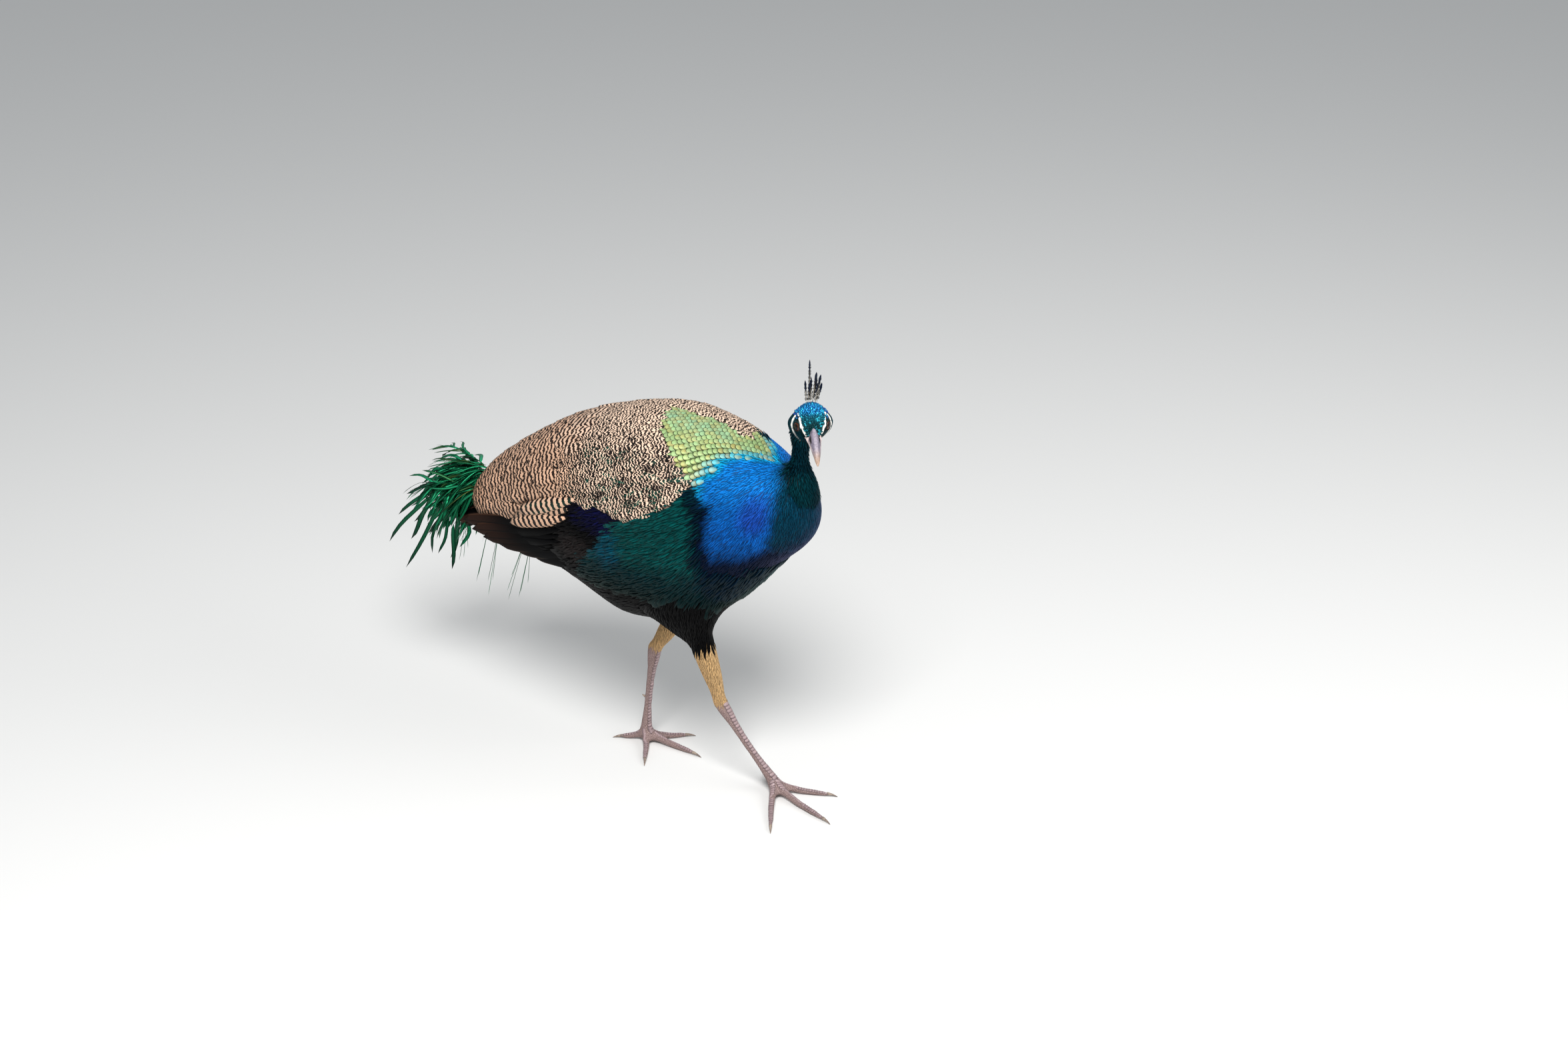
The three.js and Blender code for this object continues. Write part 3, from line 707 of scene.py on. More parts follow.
bpy.context.view_layer.objects.active = skin
skin.select_set(True)
bpy.ops.object.mode_set(mode="EDIT")
bpy.ops.mesh.select_all(action="SELECT")
bpy.ops.uv.smart_project(angle_limit=math.radians(66), island_margin=0.004)
bpy.ops.object.mode_set(mode="OBJECT")
skin.data.uv_layers[0].name = "unwrap"
print("skin unwrapped")

# %% [markdown]
# ## Feathers
# A feather could be a flat card with a cut-out image, but cards have no thickness and no edge of their own.
# Here every feather is a thin closed vane one unit long, lying along +Y with its top facing +Z. An outline
# function gives its half width along its length, so the same maker gives a round scale, a lance, a hair, a
# bead of the crown or a plate of the leg, each of a few dozen faces.

# %% Vane maker
patterns = []


def vane(name, outline, places, width, thick=0.03, camber=0.1, curl=0.0, across=4):
    """A closed vane; outline gives its half width, as a share of width / 2, at each of the places."""
    bm = bmesh.new()
    quill = bm.verts.new((0, 0, 0))
    tip = bm.verts.new((0, 1, curl))
    rings = []
    for v in places:
        half = width / 2 * outline(v)
        ridge = thick * math.sin(math.pi * min(v * 0.9 + 0.1, 1))
        lift = curl * v * v
        ring = []
        for k in range(across):
            turn = 2 * math.pi * k / across
            sideways = half * math.cos(turn)
            height = lift + ridge * math.sin(turn) - camber * (sideways / (width / 2)) ** 2 * width
            ring.append(bm.verts.new((sideways, v, height)))
        rings.append(ring)
    for k in range(across):
        n = (k + 1) % across
        bm.faces.new((quill, rings[0][n], rings[0][k]))
        bm.faces.new((tip, rings[-1][k], rings[-1][n]))
        for one, two in zip(rings, rings[1:]):
            bm.faces.new((one[k], one[n], two[n], two[k]))
    bmesh.ops.recalc_face_normals(bm, faces=bm.faces)
    uv = bm.loops.layers.uv.new("vane")
    for face in bm.faces:
        for loop in face.loops:
            loop[uv].uv = (0.5 + loop.vert.co.x / width, loop.vert.co.y)
    mesh = mesh_from(name, bm)
    found = net_of(mesh)[0]
    keep(mesh, "up", found[:, 2])
    keep(mesh, "way", found[:, 1])
    mesh.shade_smooth()
    made = object_of(name, mesh)
    made.hide_render = True
    patterns.append(made)
    return made


def rounded(slope, start):
    """An outline that widens from the quill by a slope and closes in a half circle from start."""
    return lambda v: min(1, slope * v) * math.sqrt(max(1 - max(v - start, 0) ** 2 / (1 - start) ** 2, 0))


def pointed(run, start, power):
    """An outline that swells and closes like a wave, blunter where the power is smaller."""
    return lambda v: math.sin(math.pi * min(v * run + start, 1)) ** power


lance = vane("lance", lambda v: math.sin(math.pi * v ** 0.75) ** 0.8, (0.15, 0.45, 0.78), 0.34)
scale_vane = vane("scale_vane", rounded(3, 0.55), (0.12, 0.4, 0.6, 0.8, 0.93), 0.9, camber=0.08, across=6)
covert = vane("covert", rounded(2.5, 0.5), (0.12, 0.35, 0.55, 0.75, 0.9), 0.66, camber=0.1, across=6)
hair = vane("hair", pointed(0.8, 0.16, 0.7), (0.25, 0.65), 0.2, camber=0.02, across=3)
bead = vane("bead", pointed(0.9, 0.16, 0.6), (0.15, 0.4, 0.65, 0.88), 0.95,
            thick=0.2, camber=0.12, curl=0.3, across=6)

# %% [markdown]
# ## Laying feathers over the skin
# Particle hair lays a coat quickly, but leaves no mesh and can't carry a bar or a rim. One Geometry Nodes
# tree lays every kind here. Its roots are scattered over the skin where a mask allows, no two closer than a
# spacing, or they are handed in as rows. A vane stands on each root, turned along the lie, and every point
# of it is then pressed down to the skin plus its own small height, so that the coat follows tight curves
# such as the neck. Each vane also gets a place on the skin's unwrap, or a cell of its own where it carries a
# pattern, for a baked colour map.

# %% The laying tree
SOCKETS = [
    ("Vane", "Object", None), ("Rows", "Object", None), ("In rows", "Bool", False),
    ("Mask", "String", "is_blue"), ("Tone", "String", "own_blue"), ("Spacing", "Float", 0.005),
    ("Length", "Float", 0.015), ("Width", "Float", 1.0), ("Lift", "Float", 0.25), ("Base", "Float", 0.0),
    ("Stray", "Float", 0.2), ("Vary", "Float", 0.2), ("Press", "Float", 1.0), ("Own cells", "Bool", False),
    ("Seed", "Int", 1), ("Finish", "Material", None),
]
PATCH = 0.003
CELL_MARGIN = 0.05
CROWDING = 5.0


def laying_tree(name):
    tree = bpy.data.node_groups.new(name, "GeometryNodeTree")
    tree.interface.new_socket("Geometry", in_out="INPUT", socket_type="NodeSocketGeometry")
    for label, kind, default in SOCKETS:
        made = tree.interface.new_socket(label, in_out="INPUT", socket_type="NodeSocket" + kind)
        if default is not None:
            made.default_value = default
    tree.interface.new_socket("Geometry", in_out="OUTPUT", socket_type="NodeSocketGeometry")
    bench = Bench(tree)
    entry = tree.nodes.new("NodeGroupInput")
    given = {label: Wire(bench, entry.outputs[label]) for label, _, _ in SOCKETS}
    hide = Wire(bench, entry.outputs["Geometry"])

    def field(name, kind="FLOAT"):
        return bench.add("GeometryNodeInputNamedAttribute", {"data_type": kind}, {"Name": name})

    def vectors(operation, one, two):
        return bench.add("ShaderNodeVectorMath", {"operation": operation},
                         {0: one, "Scale" if operation == "SCALE" else 1: two})

    def chance(low, high, salt):
        return bench.add("FunctionNodeRandomValue", {"data_type": "FLOAT"},
                         {2: low, 3: high, "Seed": given["Seed"] + salt}, out=1)

    def on_skin(value, kind="FLOAT_VECTOR"):
        return bench.add("GeometryNodeSampleNearestSurface", {"data_type": kind},
                         {"Mesh": hide, "Value": value})

    def stored(geometry, name, value, kind="FLOAT", domain="INSTANCE"):
        return bench.add("GeometryNodeStoreNamedAttribute", {"data_type": kind, "domain": domain},
                         {"Geometry": geometry, "Name": name, "Value": value})

    def mesh_in(label):
        return bench.add("GeometryNodeObjectInfo", {"transform_space": "ORIGINAL"},
                         {"Object": given[label]}, out="Geometry")

    def trio(x, y, z):
        return bench.add("ShaderNodeCombineXYZ", {}, {"X": x, "Y": y, "Z": z})

    mask = field(given["Mask"])
    gap = given["Spacing"]
    strewn = bench.add("GeometryNodeDistributePointsOnFaces", {"distribute_method": "POISSON"},
                       {"Mesh": hide, "Distance Min": gap, "Density Max": CROWDING / (gap * gap),
                        "Density Factor": mask.step(0.35, 0.65), "Seed": given["Seed"]})
    rows = bench.add("GeometryNodeMeshToPoints", {}, {"Mesh": mesh_in("Rows")})
    roots = bench.add("GeometryNodeSwitch", {"input_type": "GEOMETRY"},
                      {"Switch": given["In rows"], "False": strewn, "True": rows})
    for name, source, kind in (("lie", "lie", "FLOAT_VECTOR"), ("tone", given["Tone"], "FLOAT_COLOR"),
                               ("unwrap", "unwrap", "FLOAT_VECTOR"), ("gloss", "gloss", "FLOAT"),
                               ("dense", "dense", "FLOAT")):
        roots = stored(roots, name, on_skin(field(source, kind), kind), kind, "POINT")
    turn = bench.add("FunctionNodeAxesToRotation", {"primary_axis": "Z", "secondary_axis": "Y"},
                     {"Primary Axis": on_skin(bench.add("GeometryNodeInputNormal")),
                      "Secondary Axis": field("lie", "FLOAT_VECTOR")})
    stray = bench.add("FunctionNodeAxisAngleToRotation", {},
                      {"Axis": (0, 0, 1), "Angle": chance(-1.0, 1.0, 1) * given["Stray"]})
    turn = bench.add("FunctionNodeRotateRotation", {"rotation_space": "LOCAL"},
                     {"Rotation": turn, "Rotate By": stray})
    length = given["Length"] * (1 + chance(-1.0, 1.0, 2) * given["Vary"])
    stood = bench.add("GeometryNodeInstanceOnPoints", {},
                      {"Points": roots, "Instance": mesh_in("Vane"), "Rotation": turn,
                       "Scale": trio(length * given["Width"], length, length)})
    stood = stored(stood, "chance", chance(0.0, 1.0, 3))
    stood = stored(stood, "length", length)
    count = bench.add("GeometryNodeAttributeDomainSize", {"component": "INSTANCES"}, {"Geometry": stood},
                      out="Instance Count")
    side = count.maths("CEIL", count.maths("SQRT", count))
    number = bench.add("GeometryNodeInputIndex")
    cell = trio(number.maths("FLOORED_MODULO", number, side), number.maths("FLOOR", number / side), side)
    stood = stored(stood, "cell", cell, "FLOAT_VECTOR")
    whole = bench.add("GeometryNodeRealizeInstances", {}, {"Geometry": stood})

    place = bench.add("GeometryNodeInputPosition")
    facing = on_skin(bench.add("GeometryNodeInputNormal"))
    height = given["Base"] * field("chance") + (field("up") + field("way") * given["Lift"]) * field("length")
    pressed = vectors("ADD", on_skin(place), vectors("SCALE", facing, height))
    shift = vectors("SCALE", vectors("SUBTRACT", pressed, place), given["Press"])
    whole = bench.add("GeometryNodeSetPosition", {}, {"Geometry": whole, "Offset": shift})

    inner = field("vane", "FLOAT_VECTOR")
    at_root = vectors("SCALE", vectors("SUBTRACT", inner, (0.5, 0.5, 0)), PATCH)
    at_root = vectors("ADD", field("unwrap", "FLOAT_VECTOR"), at_root)
    cell = field("cell", "FLOAT_VECTOR")
    cells = bench.add("ShaderNodeSeparateXYZ", {}, {0: cell}).sibling("Z")
    inset = vectors("ADD", vectors("SCALE", inner, 1 - 2 * CELL_MARGIN), (CELL_MARGIN, CELL_MARGIN, 0))
    own = vectors("SCALE", vectors("ADD", cell, inset), 1 / cells)
    choice = bench.add("GeometryNodeSwitch", {"input_type": "VECTOR"},
                       {"Switch": given["Own cells"], "False": at_root, "True": own})
    whole = stored(whole, "OFBake", choice, "FLOAT2", "CORNER")
    whole = bench.add("GeometryNodeSetMaterial", {}, {"Geometry": whole, "Material": given["Finish"]})
    leave = tree.nodes.new("NodeGroupOutput")
    tree.links.new(whole.socket, leave.inputs[0])
    return tree


LAYING = laying_tree("laying")
SPARE = ("is_", "own_", "lie", "cell", "up", "id")


def placed(piece):
    """Hands a finished piece over, as part of the one rigid body."""
    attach(piece, "root")
    return piece


def lay(name, pattern, mask, spacing, length, finish, slot, seed, rows=None, **more):
    """Lays one kind of feather over the skin as a plain mesh piece; spacing and length are millimetres."""
    piece = object_of(name, skin.data.copy())
    layer = piece.modifiers.new("lay", "NODES")
    layer.node_group = LAYING
    values = {"Vane": pattern, "Mask": "is_" + mask, "Tone": "own_" + mask, "Spacing": spacing * mm,
              "Length": length * mm, "Finish": finish, "Seed": seed, **more}
    if rows is not None:
        values.update({"Rows": rows, "In rows": True, "Own cells": True})
    for item in LAYING.interface.items_tree:
        if item.in_out == "INPUT" and item.name in values:
            layer[item.identifier] = values[item.name]
    settled(piece)
    for spare in [n.name for n in piece.data.attributes if n.name.startswith(SPARE)]:
        piece.data.attributes.remove(piece.data.attributes[spare])
    placed(piece)
    print(name, len(piece.data.polygons), "faces")

# %% [markdown]
# ## Finishes
# A feather's colour comes from fine layers in its barbs, and its gloss has that colour too. A painted image
# could show it, but would have to be drawn for thousands of vanes. Here each vane takes its tone from the
# skin at its root and varies it by its own chance number, and the finish is part metal, which tints the
# gloss as the real barbs do.

# %% Helpers for finishes
DULL = {"Specular_IOR_Level": 0.12}
BLUE_GLOSS = {"Specular_IOR_Level": 0.3, "Specular_Tint": (0.1, 0.35, 0.9, 1)}
TEAL_GLOSS = {"Specular_IOR_Level": 0.3, "Specular_Tint": (0.08, 0.6, 0.55, 1)}
FACE_GLOSS = {"Specular_IOR_Level": 0.2, "Specular_Tint": (0.1, 0.6, 0.7, 1)}
HALF_GLOSS = {"Specular_IOR_Level": 0.3}
FAINT_GLOSS = {"Specular_IOR_Level": 0.03}


def finish_of(name, build, roughness=0.5, metallic=0.0, gloss=None):
    """A material: build makes what varies, and the rest are plain numbers on the shader."""
    material = bpy.data.materials.new(name)
    material.use_nodes = True
    tree = material.node_tree
    shader = tree.nodes["Principled BSDF"]
    for label, value in {"Roughness": roughness, "Metallic": metallic, **(gloss or {})}.items():
        shader.inputs[label.replace("_", " ")].default_value = value
    for label, wire in build(Bench(tree)).items():
        tree.links.new(wire.socket, shader.inputs[label])
    return material


def named(bench, name, out="Fac"):
    return bench.add("ShaderNodeAttribute", {"attribute_name": name}, out=out)


def toned(bench):
    """The piece's own tone and nothing else."""
    return {"Base Color": named(bench, "tone", "Color")}


def flat(name):
    return (*[float(v) for v in PAINT[name]], 1.0)


def mix(one, two, share):
    """Colour one, turning into two where share is 1; two may be the name of a paint."""
    two = flat(two) if isinstance(two, str) else two
    return share.bench.add("ShaderNodeMix", {"data_type": "RGBA"}, {0: share, 6: one, 7: two}, out=2)


def dim(colour, share):
    return share.bench.add("ShaderNodeVectorMath", {"operation": "SCALE"}, {0: colour, "Scale": share})


def vane_place(bench):
    """Across (-1 to 1) and along (0 to 1) a vane."""
    uv = bench.add("ShaderNodeUVMap", {"uv_map": "vane"})
    parts = bench.add("ShaderNodeSeparateXYZ", {}, {0: uv})
    return parts * 2 - 1, parts.sibling("Y")


def noise(bench, place, size, detail):
    return bench.add("ShaderNodeTexNoise", {}, {"Vector": place, "Scale": size, "Detail": detail})


def mottle(bench, size, seed):
    """Noise on a vane, different on each vane."""
    across, along = vane_place(bench)
    shift = named(bench, "chance") * 37 + seed
    return noise(bench, bench.add("ShaderNodeCombineXYZ", {}, {"X": across + shift, "Y": along, "Z": shift}),
                 size, 2.0)


def object_place(bench):
    return bench.add("ShaderNodeTexCoord", {}, {}, out="Object")


def relief(bench, height, strength, depth):
    return bench.add("ShaderNodeBump", {}, {"Height": height, "Strength": strength, "Distance": depth})


# %% [markdown]
# ### Hair, beads and soft feathers
# The blue, black and tan plumage is too fine for a pattern on each tuft to be seen. One tone for a tuft,
# a little lighter or darker than its neighbour's and lighter at its tip, gives the silky grain instead.

# %% Plain plumage
def tufted(low, spread_of, tip):
    """One tone for each tuft, low plus a share of its chance, and lighter by tip towards its end."""
    def build(bench):
        share = named(bench, "chance") * spread_of + vane_place(bench)[1] * tip + low
        return {"Base Color": dim(named(bench, "tone", "Color"), share)}
    return build


def jewelled(bench):
    """Beads of the crown: some pale turquoise, some deep, each brighter towards its tip."""
    chance = named(bench, "chance")
    tone = mix(named(bench, "tone", "Color"), "bead", chance.step(0.62, 0.95) * 0.7)
    return {"Base Color": dim(tone, 0.36 + 0.7 * chance + vane_place(bench)[1] * 0.3)}


def broad(bench):
    """Soft broad feathers of the flank: darker at the base, with a gloss near the tip."""
    across, along = vane_place(bench)
    barbs = ((along * 2 + across.size() * 0.8) * 60).sine() * 0.12 + 0.9
    share = along.step(0.25, 0.8) * 0.45 + 0.5 + 0.22 * named(bench, "chance")
    return {"Base Color": dim(named(bench, "tone", "Color"), share * barbs)}


paint(bead=(48, 176, 196))
face_finish = finish_of("face_sheen", tufted(0.5, 0.5, 0.3), 0.5, 0.35, FACE_GLOSS)
crown_finish = finish_of("crown_sheen", jewelled, 0.32, 0.5, HALF_GLOSS)
blue_finish = finish_of("blue_sheen", tufted(0.68, 0.46, 0.25), 0.42, 0.4, BLUE_GLOSS)
dark_finish = finish_of("dark_sheen", tufted(0.6, 0.5, 0.3), 0.55, 0.0, {"Specular_IOR_Level": 0.05})
tan_finish = finish_of("tan_hair", tufted(0.65, 0.45, 0.2), 0.7)
flank_finish = finish_of("flank_sheen", broad, 0.42, 0.4, TEAL_GLOSS)
flank_hair_finish = finish_of("flank_hair", tufted(0.5, 0.75, 0.3), 0.45, 0.3, TEAL_GLOSS)

# %% [markdown]
# ### Patterned vanes
# A back feather is a green scale with a bronze middle and a black rim, and a wing feather is pale with black
# bars that waver from barb to barb. The patterns are drawn with sums on the vane's own length and width, so
# that rims keep to the outline and bars stay square to the shaft however the vane lies. A pattern on the
# body's coordinates would run on across neighbours and look like printed cloth.

# %% Scales, bars and flight feathers
SCALE_SHOULDER = 0.55


def scaled(bench):
    """A green scale: round bronze middle, fine barbs, painted shade at its covered base, dark rim round its
    tip.
    """
    across, along = vane_place(bench)
    tip = along.maths("MAXIMUM", along - SCALE_SHOULDER, 0.0) / (1 - SCALE_SHOULDER)
    reach = across * across + tip * tip
    barbs = ((along + across.size() * 0.6) * 70).sine() * 0.08 + 0.95
    chance = named(bench, "chance")
    tone = mix(named(bench, "tone", "Color"), "bronze", chance.step(0.5, 0.95) * 0.35)
    warm = mottle(bench, 0.7, 5.0).step(0.48, 0.68) * 0.5
    tone = mix(tone, "bronze", warm * (1.0 - reach).step(0.0, 0.7))
    second_chance = chance.maths("FRACT", chance * 7)
    # Painted shade: each scale is darker towards its base, where the scale above covers it.
    tone = dim(tone, barbs * (0.5 + 0.35 * along.step(0.35, 0.7) + 0.3 * second_chance))
    return {"Base Color": mix(tone, "rim", reach.step(0.66, 0.84) * tip.step(0.1, 0.4))}


def barred(period, wander, thin, thick, bar="bar"):
    """Bars across a vane; thin and thick are the black's share where the plumage is pale and dense."""
    def build(bench):
        across, along = vane_place(bench)
        millimetres = along * named(bench, "length") / mm
        sway = (mottle(bench, 1.7, 3.0) - 0.5) * wander + across.size() * 1.8
        fray = (mottle(bench, 6.0, 8.0) - 0.5) * 3.2
        bars = (millimetres * (2 * math.pi / period) + sway + fray).sine() * 0.5 + 0.5
        share = named(bench, "dense") * (thick - thin) + thin
        tone = dim(named(bench, "tone", "Color"), 0.82 + 0.3 * named(bench, "chance"))
        green = mottle(bench, 1.6, 9.0).step(0.45, 0.56) * named(bench, "gloss")
        return {"Base Color": mix(tone, mix(flat(bar), "gloss", green), (bars + share).step(0.9, 1.1))}
    return build


def flight(bench):
    """A plain quill feather: a dark shaft, slanted barbs and a browner edge."""
    across, along = vane_place(bench)
    barbs = ((along * 3 + across.size()) * 90).sine() * 0.08 + 0.95
    tone = dim(named(bench, "tone", "Color"), barbs * (0.75 + 0.5 * named(bench, "chance")))
    edge = across.size().step(0.8, 0.96) * along.step(0.3, 0.7)
    shaft = 1 - across.size().step(0.03, 0.09)
    return {"Base Color": mix(mix(tone, "edge", edge * 0.5), "black", shaft * 0.7)}


paint(bar_brown=(44, 31, 25), rim=(38, 52, 34), edge=(88, 62, 48))
scale_finish = finish_of("green_scale", scaled, 0.46, 0.12, HALF_GLOSS)
covert_finish = finish_of("barred_small", barred(4.9, 16, 0.46, 0.78), 0.55, 0.0, DULL)
rear_finish = finish_of("barred_large", barred(7.6, 12, 0.48, 0.66, "bar_brown"), 0.55, 0.0, DULL)
tertial_finish = finish_of("barred_broad", barred(10.5, 3, 0.45, 0.5), 0.55, 0.0, DULL)
flight_finish = finish_of("flight", flight, 0.6, 0.0, FAINT_GLOSS)

# %% [markdown]
# ### Bare skin
# The legs are covered in small round scales with dark gaps. Modelling each would cost more faces than the
# whole coat, so a cell pattern gives the gaps, and the same cells feed a faint relief.

# %% The skin's own finish
SCALES_TO_A_METRE = 420.0


def hide_paint(bench):
    """The skin: fine round scales on the legs, plain elsewhere, dimmed by painted shade under the coat."""
    cells = bench.add("ShaderNodeTexVoronoi", {"feature": "DISTANCE_TO_EDGE"},
                      {"Vector": object_place(bench), "Scale": SCALES_TO_A_METRE})
    scaly = named(bench, "is_scaly")
    gap = (1 - cells.step(0.02, 0.16)) * scaly
    # Darker in the gaps between the leg scales.
    return {"Base Color": mix(named(bench, "hide_tone", "Color"), "grime", gap * 0.6),
            "Normal": relief(bench, cells.step(0.0, 0.25) * scaly, 0.5, 0.0006)}


paint(grime=(92, 72, 70))
hide_finish = finish_of("hide", hide_paint, 0.6, 0.0, DULL)

# %% [markdown]
# ## Rows
# Scales on the back and the barred feathers of the wing stand in staggered rows, like tiles, and scattered
# roots would break the rows up. A row's places are worked out on a plane and dropped on the skin along a
# straight line, from above for the back and from the side for the wing. Each place is kept only where its
# mask allows and where the skin faces the line, so that rows from above and from the side meet at the ridge.

# %% Rows dropped on the skin
FROM_ABOVE = 700
FROM_SIDE = 400
DOWN = (0, 0, -1)
skin_tree = BVHTree.FromPolygons([Vector(p) for p in points], [tuple(f.vertices) for f in skin.data.polygons])


def rows_at(name, places):
    """An unseen object whose points are the roots of vanes."""
    mesh = bpy.data.meshes.new(name)
    mesh.from_pydata(places, [], [])
    made = object_of(name, mesh)
    made.hide_render = True
    patterns.append(made)
    print(name, len(places), "roots")
    return made


def dropped(name, starts, way, mask_name=None, least=0.5, steep=(0, 1)):
    """Roots where straight lines meet the skin inside a mask, where its sideways slope is in a range."""
    polygons = skin.data.polygons
    found = []
    for start in starts:
        hit, slope, face, _ = skin_tree.ray_cast(start, Vector(way))
        if hit is None or not steep[0] <= abs(slope.x) <= steep[1]:
            continue
        corner = min(polygons[face].vertices, key=lambda v: (Vector(points[v]) - hit).length)
        if mask_name is None or masks[mask_name][corner] >= least:
            found.append(hit)
    return rows_at(name, found)


def tiled(row_gap, gap, first, last, turn, width):
    """Staggered places on a plane: turn is the way rows advance, in degrees from the first axis."""
    c, s = math.cos(math.radians(turn)), math.sin(math.radians(turn))
    places = []
    for i in range(int((last - first) / row_gap) + 1):
        for k in range(-int(width / gap), int(width / gap) + 1):
            forth = first + i * row_gap
            aside = (k + 0.5 * (i % 2)) * gap
            places.append((forth * c - aside * s, forth * s + aside * c))
    return places


def above(*tiling):
    """Places over the back, whose rows run across it."""
    return [from_body(u, 110 + v, FROM_ABOVE) for v, u in tiled(*tiling)]


def beside(sign, places):
    """Places given as a and z, started from outside one side of the bird."""
    return [from_body(sign * FROM_SIDE, u, v) for u, v in places]


# %% [markdown]
# ## The coat, region by region
# Hair-like tufts make the blue, the black and the tan parts. Scales cover the back, barred coverts the
# shoulder, longer barred feathers the rest of the folded wing, and long plain ones its lower edge. On the
# bird each group overlaps the next like slates, so each kind here is laid with its own spacing and length,
# several vanes deep, and lifts a little at its tip to show its edge.

# %% Lay the tufts
SOFT = {"Lift": 0.05, "Stray": 0.16}
lay("cape", hair, "cape", 2.1, 13, blue_finish, "blue_plumage", 11, Width=0.8, **SOFT)
lay("neck_coat", hair, "neck", 1.9, 11, face_finish, "blue_plumage", 12, Width=0.9, Lift=0.26, Stray=0.2)
lay("face_coat", lance, "face", 1.1, 3.0, face_finish, "blue_plumage", 13, Width=0.8, Lift=0.12, Stray=0.35)
lay("crown_beads", bead, "crown", 1.8, 3.4, crown_finish, "blue_plumage", 22, Width=0.9, Lift=0.16, Stray=0.6)
lay("belly_coat", hair, "belly", 3.2, 22, dark_finish, "dark_plumage", 14, Width=0.9, Lift=0.06, Stray=0.25)
lay("thigh_coat", hair, "thigh", 2.8, 18, dark_finish, "dark_plumage", 15, Width=0.9, Lift=0.07, Stray=0.2)
lay("vent_coat", hair, "vent", 3.2, 24, dark_finish, "dark_plumage", 16, Width=0.8, Lift=0.09, Stray=0.35)
lay("flank_broad", covert, "flank", 8.5, 32, flank_finish, "blue_plumage", 17,
    Width=0.9, Lift=0.04, Stray=0.16)
lay("flank_hairs", hair, "flank", 3.0, 20, flank_hair_finish, "blue_plumage", 27,
    Width=0.8, Lift=0.11, Stray=0.18, Base=0.0012)
lay("shin_coat", hair, "shin", 1.5, 9, tan_finish, "tan_plumage", 18, Width=0.6, Lift=0.05, Stray=0.2)

# %% Lay the rows of the back and wings
TERTIALS = [(315, 371), (307, 386), (299, 401)]
PRIMARIES = [(322, 352), (326, 341), (332, 330), (340, 320), (350, 311), (362, 303)]
WING_TURN = -24
SHOULDER = (300, 420)
SMALL_TILES = (7, 9.5)
LARGE_TILES = (15, 16)
COVERT = {"Width": 0.95, "Lift": 0.09, "Stray": 0.12, "Vary": 0.12, "Base": 0.001}
BARRED = {"Width": 0.85, "Lift": 0.07, "Stray": 0.08, "Vary": 0.12, "Base": 0.001}


def lay_barred(name, seed, rows):
    lay(name, covert, "wing", 15, 46, rear_finish, "barred_plumage", seed, rows, **BARRED)


def lay_coverts(name, seed, rows):
    lay(name, covert, "wing", 8, 19, covert_finish, "barred_plumage", seed, rows, **COVERT)


front_places = [(SHOULDER[0] + u, SHOULDER[1] + v) for u, v in tiled(*SMALL_TILES, -240, 30, WING_TURN, 170)]
rear_places = [(SHOULDER[0] + u, SHOULDER[1] + v) for u, v in tiled(*LARGE_TILES, 30, 260, WING_TURN, 170)]
rear_places = [(u, v) for u, v in rear_places if u > 400 or v > WING_LOW(u) + 30]
back_rows = dropped("back_rows", above(5, 6.8, -90, 130, 0, 90), DOWN, "scale", 0.2)
lay("back_scales", scale_vane, "scale", 6.8, 11.2, scale_finish, "green_plumage", 19, back_rows,
    Width=0.9, Lift=0.1, Stray=0.08, Vary=0.06, Base=0.0006)
top_front = dropped("top_front", above(*SMALL_TILES, -60, 190, 0, 110), DOWN, "wing", 0.35, (0, 0.7))
top_rear = dropped("top_rear", above(*LARGE_TILES, 190, 420, 0, 100), DOWN, "wing", 0.35, (0, 0.75))
lay_barred("top_barred", 25, top_rear)
lay_coverts("top_coverts", 26, top_front)
for side, sign in SIDES.items():
    inward = (-sign, 0, 0)
    front_rows = dropped("front_rows_" + side, beside(sign, front_places), inward, "wing", 0.4, (0.52, 1))
    rear_rows = dropped("rear_rows_" + side, beside(sign, rear_places), inward, "wing", 0.4, (0.5, 1))
    tertial_rows = dropped("tertial_rows_" + side, beside(sign, TERTIALS), inward)
    primary_rows = dropped("primary_rows_" + side, beside(sign, PRIMARIES), inward)
    lay("primaries_of_" + side, covert, "wing", 15, 165, flight_finish, "brown_plumage", 24, primary_rows,
        Width=0.24, Lift=0.02, Stray=0.02, Vary=0.05, Base=0.001, Tone="own_flight")
    lay_barred("rear_barred_" + side, 20, rear_rows)
    lay("tertials_" + side, covert, "wing", 15, 118, tertial_finish, "barred_plumage", 23, tertial_rows,
        Width=0.38, Lift=0.045, Stray=0.03, Vary=0.05, Base=0.002)
    lay_coverts("coverts_" + side, 21, front_rows)

# %% [markdown]
# ## Blades
# Crest, train, tail and flight feathers hang in the air away from the skin, so the laying tree can't place
# them. Curves with a bevel could, but they would not taper in width and thickness apart. A `Blades` bundle
# gathers closed tapering blades, each along a path of its own, into one mesh, and gives each its own cell of
# the colour map.

